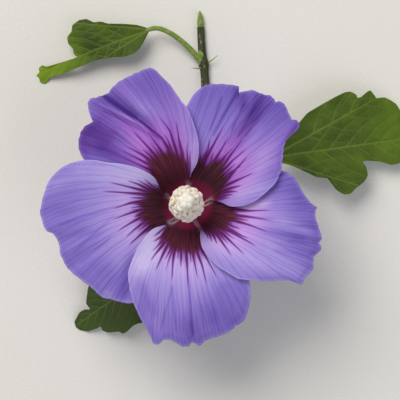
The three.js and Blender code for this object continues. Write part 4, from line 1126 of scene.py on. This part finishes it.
def make_petal(name, petal, seed):
    piece, u, v = add_grid(name + "_blade", PETAL_COLUMNS, PETAL_ROWS)
    across = 1 - 2 * u
    along, beside = petal_plan(petal, across, v, seed)
    plan = np.stack([along, beside], -1)
    r, angle = to_polar(along, beside)
    vein = petal_flow(petal, r, angle) + VEIN_WAVER * wander(r, 0, 48, 14, seed + 1)
    main, fine = petal_veins(vein, r, seed + 2)
    streak = petal_streaks(petal, plan)
    # the strokes: partly painted shade and painted highlights, partly the petal's own bands
    deeper, pinker = petal_strokes(petal, plan)

    # shape: the ruffle and the curl die out at the petal's sides, which lie on its neighbours
    free = 1 - smooth(np.abs(across), 0.45, 0.85)
    ruffle = RUFFLE * wander(across, -1, 1, 15, seed + 4) * smooth(r, 24, 40) * free
    pucker = PUCKER * wander(vein, -1, 1, 44, seed + 5) * smooth(r, 14, 26)
    curl = RIM_CURL * smooth(v, 0.94, 1) * (0.6 + 0.6 * wander(across, -1, 1, 9, seed + 6)) * free
    height = sheet_height(petal, r, angle) + fold_heights(petal, across, r) + ruffle + pucker - curl
    sunk = MAIN_VEIN_DEPTH * main + FINE_VEIN_DEPTH * fine
    height = height - sunk * smooth(r, 10, 18) - STREAK_DEPTH * streak
    x, y = polar(r, angle + petal["axis"]).T
    move_to(piece, bloom_point(x, y, height))

    # the eye, with a toothed edge, and dark where streaks leave it
    reach = np.interp(angle, *np.array(petal["eye"]).T)
    sharp, broad = EYE_TEETH
    teeth = sharp * comb(vein, 30, 0.022, seed + 8) + broad * (wander(vein, -1, 1, 16, seed + 3) - 1)
    eye = smooth(reach + teeth - r, *EYE_EDGE)
    eye = np.maximum(eye, 0.75 * streak * (1 - smooth(r - reach, 0, 5)))
    glow = EYE_GLOW * (1 - smooth(r, *petal["glow"])) * smooth(r, 2.5, 4.5)
    fringe = eye_fringe(vein, r, reach, seed + 7)

    # the violet: pinker and paler round the eye, deeper outwards and along the veins
    inside = lerp(0.3, 1, smooth(angle, -38, -20))
    pink = hump(r - reach, *BLUSH_AT) * petal["blush"] * inside
    # the petal's own tone; on the two upper petals it is deeper partly as painted shade
    tone = petal["tone"] + BASE_TONE + OUTER_TONE * smooth(r, 24, 42) + deeper
    tone = tone - petal["dawn"] * hump(r - reach, *DAWN_AT)
    tone = tone + (VEIN_TONES[0] * main + VEIN_TONES[1] * fine) * smooth(r, 12, 20)
    tone = tone + 0.02 * wander(vein, -1, 1, 30, seed + 9) * smooth(r, 14, 24)
    # a painted highlight along the rim
    tone = tone - PAINTED_RIM_HIGHLIGHT * smooth(v, 0.975, 1)

    paint(piece, "tone", np.clip(tone, -0.15, 1))
    paint(piece, "pink", np.clip(pink + pinker, 0, 1))
    paint(piece, "streak", np.maximum(streak, fringe * smooth(r, 9, 12)))
    paint(piece, "eye", eye)
    paint(piece, "glow", np.maximum(glow, petal["ember"] * eye))
    paint(piece, "edge", smooth(np.abs(across), 0.68, 1.0) * (1 - smooth(r, 6, 9)))
    along_veins = piece.data.uv_layers.active
    along_veins.name = "veins"
    corner = np.empty(len(piece.data.loops), int)
    piece.data.loops.foreach_get("vertex_index", corner)
    flat = np.stack([vein / 2 + 0.5, r / 50], -1)[corner]
    along_veins.data.foreach_set("uv", flat.ravel())
    down = finish_sheet(piece, PETAL, PETAL_THICKNESS)
    paint(piece, "outside", smooth(down, 0, 0.15))
    keep(piece, "petal", name)


def column_radius(z):
    low, high = COLUMN_HEIGHTS
    return lerp(*COLUMN_RADII, (z - low) / (high - low))


def make_column():
    """The tube of joined filaments: five soft ridges, drawn in at its foot."""
    piece, u, v = add_grid("staminal_tube", COLUMN_SIDES, COLUMN_STEPS)
    z = lerp(*COLUMN_HEIGHTS, v)
    turn = 2 * np.pi * u
    broad, fine = COLUMN_RIDGES
    ridges = broad * np.cos(5 * turn) + fine * np.cos(15 * turn + z)
    foot = COLUMN_FOOT * np.exp(-(z - COLUMN_HEIGHTS[0]) / 1.5)
    radius = (column_radius(z) + ridges - foot) * end_caps(v, COLUMN_STEPS)
    move_to(piece, column_point(radius, turn, z))
    paint(piece, "foot", 0.5 * (1 - smooth(z, 2, 9)))
    finish_tube(piece, FILAMENT)
    keep(piece, "stamen", "staminal_column")


def anther_model():
    """One opened anther: a plump kidney on its back, with a shallow slit along its outer edge."""
    piece = add(bpy.ops.mesh.primitive_uv_sphere_add, segments=16, ring_count=10, radius=0.5)
    x, y, z = read(piece.data.vertices, "co").T
    arch = 0.8 * x**2
    pinch = 1 - 0.25 * hump(x, 0, 0.16) * (y < 0)
    swell = 1 - ANTHER_SLIT * hump(z, 0.1, 0.1) * smooth(y, 0.05, 0.3)
    y = y * ANTHER_FLATNESS * pinch - arch * 0.5
    shaped = np.stack([x, y, z * ANTHER_FLATNESS], -1) * swell[:, None]
    piece.data.vertices.foreach_set("co", (shaped * ANTHER_SIZE * MM).ravel())
    return piece


def anther_places():
    """For each anther, in rings up the column: its point, the way it faces, its roll, its angle
    round the column and its height."""
    draw = np.random.default_rng(7)
    heights, radii = np.array(ANTHER_BANDS, float).T
    places = []
    rings = np.arange(heights[0] + 0.5, heights[-1] + 0.4, ANTHER_RING_STEP)
    for ring, (z, depth) in enumerate((z, depth) for z in rings for depth in ANTHER_DEPTHS):
        radius = ANTHER_GIRTH * np.interp(z, heights, radii) - depth
        if radius < 0.9:
            continue
        count = max(4, int(2 * math.pi * radius / ANTHER_STEP))
        for k in range(count):
            turn = 2 * math.pi * (k + 0.5 * (ring % 2) + draw.uniform(-0.2, 0.2)) / count
            out = radius + draw.uniform(-0.5, 0.4)
            for at, wide, deep in ANTHER_DENTS:
                out -= deep * hump((math.degrees(turn) - at + 180) % 360 - 180, 0, wide)
            up = z + draw.uniform(-0.4, 0.4)
            lift = lerp(-0.35, 1.0, (up - heights[0]) / (heights[-1] - heights[0]))
            away = unit([math.cos(turn), math.sin(turn), lift + draw.uniform(-0.3, 0.3)])
            roll = draw.uniform(0, 2 * math.pi)
            places.append((column_point(out, turn, up), away, roll, turn, up))
    return places


def anther_kind(up, draw):
    """Which of the three kinds an anther at this height is."""
    if draw.uniform() < SPENT_SHARE:
        return "spent_anthers"
    blushing = smooth(up, 30, 21) if up > 21 else 1.0
    return "blushing_anthers" if draw.uniform() < BLUSHING_SHARE * blushing else "cream_anthers"


def make_anthers():
    draw = np.random.default_rng(11)
    model = anther_model()
    places = anther_places()
    put = {kind: [] for kind in ANTHERS}
    for spot, away, roll, _, up in places:
        turned = turn_to(away, roll) * draw.uniform(0.85, 1.15)
        put[anther_kind(up, draw)].append((turned, spot))
    for kind, material in ANTHERS.items():
        nodes = ["anther_mass"] if kind == "cream_anthers" else []
        keep(copies(kind, model, put[kind], material), "anther", *nodes)
    bpy.data.objects.remove(model)

    # a slender free filament carries each anther out from the tube
    low, high = THREAD_RADII
    cone = bpy.ops.mesh.primitive_cone_add
    thread = add(cone, vertices=6, radius1=low, radius2=high, depth=1)
    threads = []
    for spot, _, _, turn, up in places:
        start = up - THREAD_RISE
        foot = column_point(column_radius(start) - 0.1, turn, start)
        length = np.linalg.norm(spot - foot)
        stretch = turn_to(unit(spot - foot), 0) @ np.diag([MM, MM, length * MM])
        threads.append((stretch, (foot + spot) / 2))
    keep(copies("free_filaments", thread, threads, THREAD), "stamen")
    bpy.data.objects.remove(thread)

    # pollen grains cling to the open anthers
    grain = add(bpy.ops.mesh.primitive_ico_sphere_add, subdivisions=1, radius=GRAIN_RADIUS * MM)
    grains = []
    for spot, away, _, _, _ in places:
        for _ in range(GRAINS):
            loose = unit(draw.normal(size=3))
            if loose @ away < -0.2:
                continue
            at = spot + loose * ANTHER_SIZE * np.array([0.46, 0.46, 0.4]) * draw.uniform(0.8, 1)
            grains.append((np.eye(3) * draw.uniform(0.7, 1.25), at))
    keep(copies("pollen", grain, grains, POLLEN), "anther")
    bpy.data.objects.remove(grain)


def make_stigma():
    """Five velvety lobes pressed together over the anthers, and a sixth small one that fills
    the middle."""
    model = add(bpy.ops.mesh.primitive_uv_sphere_add, segments=40, ring_count=24, radius=1)
    points = read(model.data.vertices, "co")
    x, y, z = points.T
    grain = np.sin(23 * x + 3 * y) * np.sin(19 * y - 4 * z) * np.sin(21 * z + 5 * x)
    swell = LOBE_RADIUS * (1 + 0.04 * grain)
    model.data.vertices.foreach_set("co", (points * swell[:, None] * [1, 1, 0.85] * MM).ravel())
    foot = COLUMN_HEIGHTS[1] + STIGMA_GAP
    places = []
    for k in range(LOBES):
        turn = 2 * math.pi * (k + 0.3) / LOBES
        spread = LOBE_SPREAD + 0.12 * math.sin(3 * k)
        spot = column_point(spread, turn, foot + 1.15 + 0.18 * math.cos(2.3 * k))
        places.append((turn_to((math.cos(turn) * 0.5, math.sin(turn) * 0.5, 1), k), spot))
    places.append((np.eye(3) * 0.8, column_point(0, 0, foot + 1.5)))
    keep(copies("stigma_lobes", model, places, STIGMA), "stigma", "stigma")
    bpy.data.objects.remove(model)


def make_claw_hairs():
    """White hairs along both margins of each claw, over the slits between the claws."""
    draw = np.random.default_rng(31)
    thick = HAIR_RADIUS * MM
    cone = bpy.ops.mesh.primitive_cone_add
    hair = add(cone, vertices=4, radius1=thick, radius2=thick / 4, depth=MM)
    places = []
    for petal in PETALS.values():
        for side, top_half in zip((-1, 1), petal["claw"]):
            aside = np.append(polar(side, petal["axis"] + 90), 0.4)
            for _ in range(CLAW_HAIRS):
                share = draw.uniform(0.15, 1)
                along = lerp(CLAW_START, CLAW_END, share)
                beside = side * lerp(CLAW_FOOT_HALF_WIDTH, top_half, share)
                r, angle = to_polar(along, beside)
                x, y = polar(r, angle + petal["axis"])
                foot = bloom_point(x, y, sheet_height(petal, r, angle))
                way = unit(aside + 0.35 * draw.normal(size=3))
                length = draw.uniform(*HAIR_LENGTHS)
                turned = turn_to(way, 0) @ np.diag([1, 1, length])
                places.append((turned, foot + way * length / 2))
    keep(copies("claw_hairs", hair, places, DOWN), "petal")
    bpy.data.objects.remove(hair)


def calyx_radius(z):
    """Radius of the calyx's outside at height z."""
    inside = funnel_radius(np.maximum(z, 0)) + CALYX_CLEARANCE[0] + CALYX_CLEARANCE[1] * z
    cup = inside + CALYX_WALL
    return np.where(z < 0, lerp(cup, CALYX_FOOT_RADIUS, z / CALYX_FOOT), cup)


def calyx_tooth(angle):
    """0 between two teeth of the calyx, 1 at the point of a tooth."""
    turn = ((angle - PETALS["petal_upper_left"]["axis"]) / PETAL_SPACING) % 1
    return 1 - np.abs(2 * turn - 1)


def make_calyx():
    """A cup with five pointed teeth. Its grid runs from under the foot, up the outside, over
    the rim and down the inside to the floor."""
    piece, u, v = add_grid("calyx_cup", CALYX_SIDES, CALYX_STEPS)
    angle = 360 * u
    tooth = calyx_tooth(angle)
    top = CALYX_SINUS + CALYX_TOOTH * tooth**CALYX_TOOTH_POINT
    stations = [0, 0.05, 0.12, 0.55, 0.58, 0.95, 1]
    share = np.interp(v, stations, [-1, -1, 0, 1, 1, 0, 0])
    inner = np.interp(v, stations, [0, 0, 0, 0, 1, 1, 1])
    closing = np.interp(v, stations, [0, 1, 1, 1, 1, 1, 0])
    rise = np.maximum(share, 0)
    z = np.where(share < 0, -share * CALYX_FOOT, lerp(CALYX_FLOOR * inner, top, rise))
    thin = CALYX_WALL * inner * lerp(1, 0.5, rise)
    rib = hump(tooth, 1, 0.1) + 0.6 * hump(tooth, 0, 0.1) + 0.4 * hump(tooth, 0.55, 0.07)
    relief = CALYX_RIB * rib * smooth(share, 0, 0.3) * (1 - inner)
    radius = (calyx_radius(z) - thin + relief) * closing
    x, y = polar(radius, angle).T
    move_to(piece, bloom_point(x, y, z))
    paint(piece, "rib", 0.7 * rib * (1 - inner))
    finish_tube(piece, CALYX)
    keep(piece, "calyx", "calyx")


def bract_radius(u, v):
    return BRACT_WIDTH / 2 * (1 - BRACT_TAPER * v**2) * (1 - 0.85 * smooth(v, 0.93, 1))


def make_bracts():
    """Seven narrow bracts round the calyx, each a little bent in its own way."""
    for i in range(BRACT_COUNT):
        angle = 360 * (i + BRACT_TURN) / BRACT_COUNT
        path = [bloom_point(*polar(1.2, angle), np.float64(-1.0))]
        for radius, z in BRACT_PATH:
            x, y = polar(radius + 0.15 * math.sin(2 * i + z), angle + 1.5 * math.sin(i + 0.4 * z))
            path.append(bloom_point(x, y, z))
        side = np.append(polar(1, angle), 1)
        flat = BRACT_THICKNESS / BRACT_WIDTH
        piece = add_tube(f"bract_{i + 1}", path, bract_radius, 16, 70, CALYX, side, flat)
        paint(piece, "rib", np.zeros(len(piece.data.vertices)))
        keep(piece, "calyx", f"epicalyx_bract_{i + 1}")


# ---- the shoot ------------------------------------------------------------------------


def shoot_taper(share):
    return lerp(*SHOOT_RADII, share**SHOOT_TAPER)


def shoot_point(y):
    """A point on the shoot's axis at a place along +Y. The axis lies as high as its radius."""
    shares = np.linspace(0, 1, 600)
    share = np.interp(y, even_spline(SHOOT_PATH, shares)[:, 1], shares)
    x, along, _ = even_spline(SHOOT_PATH, np.array([share]))[0]
    return np.array([x, along, shoot_taper(share)])


def make_shoot():
    """Bark with fine ridges, swellings at the leaf nodes and corky pores. Its first rows make
    the flat cut end."""
    piece, u, v = add_grid("shoot_bark", SHOOT_SIDES, SHOOT_ROWS)
    row = np.round(v * SHOOT_ROWS)
    core = np.clip(row / CUT_ROWS, 0, 1)
    share = np.clip((row - CUT_ROWS) / (SHOOT_ROWS - CUT_ROWS), 0, 1)
    centre = even_spline(SHOOT_PATH, share)
    centre[:, 2] = shoot_taper(share)
    turn = 2 * np.pi * u
    y = centre[:, 1]
    swell = np.max([hump(y, at, NODE_LENGTH) for at in NODES.values()], axis=0)
    below, half, high = LEAF_SCAR
    scars = np.max([hump(y, at - below, half) for at in NODES.values()], axis=0)
    uneven, even = BARK_RIDGES
    ridges = uneven * wander(u + 0.02 * np.sin(y / 4), 0, 1, 26, 21) + even * np.sin(9 * turn + y / 9)
    draw = np.random.default_rng(23)
    pore = np.zeros_like(u)
    for _ in range(PORES):
        at_y, at_u = draw.uniform(-42, 56), draw.uniform(0, 1)
        long, wide = draw.uniform(0.25, 0.6), draw.uniform(0.014, 0.024)
        apart = np.abs(u - at_u)
        apart = np.minimum(apart, 1 - apart)
        pore = np.maximum(pore, hump(y, at_y, long) * hump(apart, 0, wide))
    on_bark = row > CUT_ROWS
    radius = shoot_taper(share) + NODE_SWELLING * swell + high * scars
    radius = radius + (ridges + PORE_RELIEF * pore) * on_bark
    radius = radius * core * np.minimum(1, (1 - v) * SHOOT_ROWS)
    x = centre[:, 0] + radius * np.cos(turn)
    z = np.maximum(centre[:, 2] + radius * np.sin(turn), 0)
    move_to(piece, np.stack([x, y, z], -1))
    paint(piece, "pore", pore * 0.8 * on_bark)
    paint(piece, "cut", (~on_bark).astype(float))
    paint(piece, "core", core)
    finish_tube(piece, BARK)
    bpy.ops.object.shade_smooth_by_angle(angle=math.radians(40))
    keep(piece, "shoot", "shoot")


def bud_swell(v):
    return np.sin(np.pi * lerp(0.3, 0.97, v)) ** 0.8


def ribbed(u, ribs, depth):
    """A tube's radius round its section, with that many soft ribs."""
    return 1 + depth * np.cos(2 * np.pi * ribs * u)


def make_tip_bud():
    """The growing tip: young folded leaves, each a pointed scale beside the last."""
    foot = np.array([*SHOOT_PATH[-1][:2], SHOOT_RADII[1]])
    ahead = np.array([-0.06, 1, 0.06])
    made = []
    for turn, off, long, fat in TIP_SCALES:
        aside = np.array([math.cos(turn), 0, math.sin(turn)]) * off
        start = foot - ahead * 0.3
        reach = TIP_BUD_LENGTH * long
        path = [
            start,
            start + ahead * 0.35 * reach + aside,
            start + ahead * (reach + 0.4) + aside * 0.7,
        ]

        def scale_radius(u, v):
            return TIP_BUD_RADIUS * fat * bud_swell(v) * ribbed(u, 3, 0.07)

        made.append(add_tube("tip_scale", path, scale_radius, 20, 40))
    bpy.ops.object.select_all(action="DESELECT")
    for scale in made:
        scale.select_set(True)
    bpy.context.view_layer.objects.active = made[0]
    bpy.ops.object.join()
    made[0].name = "growing_tip"
    keep(made[0], "leaf", "tip_bud")


def pedicel_radius(u, v):
    joint = 0.25 * hump(v, 0.62, 0.03)
    return lerp(*PEDICEL_RADII, v) * ribbed(u, 5, 0.03) + 0.35 * np.exp(-v * 14) + joint


def make_pedicel():
    """The flower's stalk, thick at its foot and at the joint where it will part."""
    piece = add_tube("flower_stalk", PEDICEL_PATH, pedicel_radius, 36, 90)
    keep(piece, "calyx", "pedicel")


# ---- leaves ---------------------------------------------------------------------------


def leaf_length(leaf):
    return max(along for along, _ in leaf["outline"])


def leaf_point(leaf, along, across):
    """From distance along and across the midrib to a point of the sprig."""
    base, arch, tip = leaf["heights"]
    share = np.clip(along / leaf_length(leaf), 0, 1)
    midrib = lerp(base, tip, share**LEAF_FALL) + arch * np.sin(np.pi * share)
    height = midrib + leaf["keel"] * np.abs(across) * (1 - share)
    radius, angle = to_polar(along, across)
    x, y = polar(radius, leaf["heading"] + angle).T
    return np.stack([leaf["base"][0] + x, leaf["base"][1] + y, height], -1)


def leaf_veins(leaf):
    """Stretches of vein as start, end and half width: three main veins, and side veins that
    leave each of them to both sides."""
    broad, near, far_out = LEAF_VEIN_HALF_WIDTHS
    longer, least = SIDE_VEIN_REACH
    veins = []
    main = [((leaf_length(leaf), 0), 0.2, 0.1), *((lobe, 0.34, 0.17) for lobe in leaf["lobes"])]
    for tip, first, step in main:
        tip = np.array(tip, float)
        far = np.linalg.norm(tip)
        ahead = tip / far
        veins.append((np.zeros(2), tip, broad))
        for side in (-1, 1):
            share = first + (0.04 if side > 0 else 0)
            while share < 0.93:
                turn = side * math.radians(lerp(*SIDE_VEIN_ANGLES, share))
                c, s = math.cos(turn), math.sin(turn)
                way = np.array([ahead[0] * c - ahead[1] * s, ahead[0] * s + ahead[1] * c])
                start = tip * share
                reach = far * longer * (1 - share) + least
                bend = start + way * reach * 0.5
                veins.append((start, bend, near))
                veins.append((bend, bend + (way * 0.8 + ahead * 0.4) * reach * 0.5, far_out))
                share += step
    return veins


def leaf_side(points, tip):
    """Places along one side of a leaf's outline, the share of the way to each, and how far up
    the midrib the line starts that runs out to it."""
    points = np.asarray(points, float)
    share = np.linspace(0, 1, 1500)
    steps = np.arange(len(points)) / (len(points) - 1)
    edge = lerp(spline(points, share), between(share, steps, points), 0.5)
    way = lengths(edge)
    way /= way[-1]
    aside = np.abs(edge[:, 1] - edge[:, 0] * tip[1] / tip[0])
    foot = np.maximum.accumulate(edge[:, 0] - LEAF_VEIN_LEAN * aside)
    foot = (foot - foot[0]) / (foot[-1] - foot[0])
    return edge, way, lerp(foot, way, 0.12) * tip[0]


def leaf_plan(leaf, side, v):
    """Places along and across the midrib, from one margin (side -1) to the other (side 1)."""
    outline = leaf["outline"]
    at_tip = max(range(len(outline)), key=lambda i: outline[i][0])
    tip = outline[at_tip]
    halves = [leaf_side(outline[: at_tip + 1], tip), leaf_side(outline[at_tip:][::-1], tip)]
    rib = np.linspace(0, tip[0], 3000)
    pace = rib / tip[0] + sum(np.interp(rib, foot, way) for _, way, foot in halves)
    rib = np.interp(0.998 * v * pace[-1], pace, rib)
    middle = np.stack([rib, rib * tip[1] / tip[0]], -1)
    end = np.where(side[:, None] < 0, *[between(rib, foot, edge) for edge, _, foot in halves])
    return lerp(middle, end, np.abs(side)[:, None])


def make_leaf(name, leaf, seed):
    piece, u, v = add_grid(name + "_fine", LEAF_COLUMNS, LEAF_ROWS)
    side = 1 - 2 * u
    plan = leaf_plan(leaf, side, v)
    along, across = plan.T
    nearest = np.full(len(along), 9.0)
    vein = np.zeros(len(along))
    for start, end, width in leaf_veins(leaf):
        apart, share = to_stretch(plan, start, end)
        nearest = np.minimum(nearest, apart)
        line = hump(apart, 0, width * lerp(1.2, 0.5, share))
        vein = np.maximum(vein, line * width / LEAF_VEIN_HALF_WIDTHS[0])
    # a pool of painted sunlight, brighter yellow-green, from where it starts to where it is full
    starts, ends, most = leaf["painted_sunlight"]
    _, sunlit_share = to_stretch(plan, np.array(starts, float), np.array(ends, float))
    bulge = LEAF_BULGE * (1 - np.exp(-nearest / 1.3)) - 0.3
    edge_wave, blade_wave = LEAF_WAVES
    wave = edge_wave * wander(v + 1.5 * (side > 0), 0, 2.5, 30, seed) * smooth(np.abs(side), 0.5, 1)
    wave = wave + blade_wave * np.sin(along / 2.6 + seed) * np.sin(across / 2.1)
    points = leaf_point(leaf, along, across)
    points[:, 2] += bulge + wave * smooth(along, 2, 14)
    points[:, 2] = np.maximum(points[:, 2], LEAF_LOWEST)
    move_to(piece, points)
    paint(piece, "vein", np.minimum(0.55 * vein, 0.6))
    paint(piece, "painted_sunlight", most * smooth(sunlit_share, 0, 1))
    # how much duller and darker the leaf is painted: partly its own grey, partly painted shade
    paint(piece, "dull_and_shaded", np.full(len(along), leaf["dull_and_shaded"]))
    down = finish_sheet(piece, LEAF, LEAF_THICKNESS)
    paint(piece, "under", 0.75 * smooth(down, 0.1, 0.4))
    keep(piece, "leaf", name + "_blade")


def bezier(points, t):
    """A point on the cubic curve with these four controls."""
    a, b, c, d = points
    return (1 - t) ** 3 * a + 3 * t * (1 - t) ** 2 * b + 3 * t**2 * (1 - t) * c + t**3 * d


def petiole_radius(u, v):
    groove = 1 - 0.16 * hump(u, 0.25, 0.06)
    return lerp(*PETIOLE_RADII, v) * groove + 0.35 * np.exp(-v * 16) - 0.25 * smooth(v, 0.93, 1)


def make_petiole(name, leaf):
    """The leaf's stalk, with a groove along its top, running into the midrib."""
    foot = shoot_point(NODES[leaf["node"]] - PETIOLE_RADII[0])
    heading = np.append(polar(1, leaf["heading"]), 0)
    end = np.array([*leaf["base"], leaf["heights"][0]]) - heading * PETIOLE_END_GAP
    approach, dip = PETIOLE_APPROACH
    before = end - heading * approach + [0, 0, dip]
    shoulder = lerp(foot, before, PETIOLE_SHOULDER_AT) + PETIOLE_SHOULDER
    path = [bezier((foot, shoulder, before, end), share) for share in np.linspace(0, 1, 9)]
    path.append(leaf_point(leaf, np.array([1.6]), np.array([0.0]))[0] - [0, 0, 0.35])
    keep(add_tube(name + "_stalk", path, petiole_radius, 28, 110), "calyx", name + "_petiole")


def outgrowth(leaf, side, place, length, angle=0):
    """The straight path of a bud or stipule beside a leaf, on one side of the shoot."""
    ahead, from_straight, rise = place
    foot = shoot_point(NODES[leaf["node"]] + ahead)
    turn = math.radians(from_straight + angle)
    way = unit([side * math.sin(turn), math.cos(turn), math.tan(math.radians(rise))])
    return foot, way * length


def stipule_radius(u, v):
    return STIPULE_RADIUS * (1 - 0.85 * v)


def axil_bud_radius(u, v):
    return BUD_RADIUS * bud_swell(v) * (1 + 0.08 * np.cos(6 * np.pi * u + 5 * v))


def make_node_pieces(name, leaf):
    """The thread-like stipules on both sides of a leaf, and the bud in its axil."""
    foot = shoot_point(NODES[leaf["node"]])
    away_x = leaf["base"][0] - foot[0]
    side = math.copysign(1, away_x)
    away = math.degrees(math.atan2(abs(away_x), leaf["base"][1] - foot[1]))
    droop = np.array([0, 0.25, -0.3])
    for label, towards, place, angle in [
        ("outer", -side, OUTER_STIPULE_PLACE, 0),
        ("inner", side, INNER_STIPULE_PLACE, away),
    ]:
        start, way = outgrowth(leaf, towards, place, STIPULE_LENGTH, angle)
        path = [start, start + way * 0.5 - droop * 0.4, start + way * 1.05 + droop]
        piece = add_tube(f"{name}_{label}_thread", path, stipule_radius, 10, 40)
        keep(piece, "calyx", f"{name}_stipule_{label}")
    if leaf["bud"]:
        start, way = outgrowth(leaf, side, BUD_PLACE, BUD_LENGTH)
        path = [start, start + way * 0.5, start + way]
        piece = add_tube(f"{name}_axil_bud", path, axil_bud_radius, 24, 30)
        keep(piece, "leaf", f"{name}_bud")


# ---- the sprig ------------------------------------------------------------------------

for index, (petal_name, petal_looks) in enumerate(PETALS.items()):
    make_petal(petal_name, petal_looks, 100 * (index + 1))
make_column()
make_anthers()
make_stigma()
make_claw_hairs()
make_calyx()
make_bracts()
make_pedicel()
make_shoot()
make_tip_bud()
for index, (leaf_name, leaf_looks) in enumerate(LEAVES.items()):
    make_leaf(leaf_name, leaf_looks, 900 + index)
    make_petiole(leaf_name, leaf_looks)
    make_node_pieces(leaf_name, leaf_looks)

# ---- the floor, the light and the camera ----------------------------------------------

CAMERA_AT = (3.66, 1.37, 520)  # mm: straight above the middle of the view
CAMERA_LENS = 141.6
FLOOR_SIZE = 4.0
LIGHTS = [
    # name, place in metres, size in metres, watts, colour
    ("key", (-0.4, 0.6, 0.9), 0.7, 9.8, "#fffaf2"),
    ("fill", (0.6, -0.6, 0.8), 0.9, 3.2, "#f2f6ff"),
]
SKY = "#f1f1f3"
SKY_STRENGTH = 0.32


def make_floor():
    # matt pale paper
    floor = add(bpy.ops.mesh.primitive_plane_add, size=FLOOR_SIZE, location=(0, 0, 0))
    floor.name = "floor"
    made, tree = start_material("pale_paper")
    place = node(tree, "TexCoord", out="Object")
    fibres = node(tree, "TexNoise", {"Vector": place, "Scale": 1500.0, "Detail": 3.0})
    tint = node(tree, "ValToRGB", {"Fac": fibres}, [(0.3, "#e4e3de"), (0.7, "#ebeae6")])
    finish_material(made, {"Base Color": tint, "Roughness": 0.85})
    floor.data.materials.append(made)
    floor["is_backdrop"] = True


def make_lights():
    for name, place, size, watts, tint in LIGHTS:
        data = bpy.data.lights.new(name, "AREA")
        data.size = size
        data.energy = watts
        data.color = colour(tint)[:3]
        lamp = place_object(name, data)
        lamp.location = place
        lamp.rotation_euler = (-Vector(place)).to_track_quat("-Z", "Y").to_euler()
    world = bpy.data.worlds.new("studio")
    world.use_nodes = True
    sky = world.node_tree.nodes["Background"]
    sky.inputs["Color"].default_value = colour(SKY)
    sky.inputs["Strength"].default_value = SKY_STRENGTH
    bpy.context.scene.world = world


def make_camera():
    data = bpy.data.cameras.new("camera")
    data.lens = CAMERA_LENS
    camera = place_object("camera", data)
    camera.location = Vector(in_frame(CAMERA_AT))
    bpy.context.scene.camera = camera
    bpy.context.scene.view_settings.view_transform = "Standard"


make_floor()
make_lights()
make_camera()

boxes = {"cad": CAD_BOX, "visual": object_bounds()}
{name: [list(corner) for corner in box] for name, box in boxes.items()}
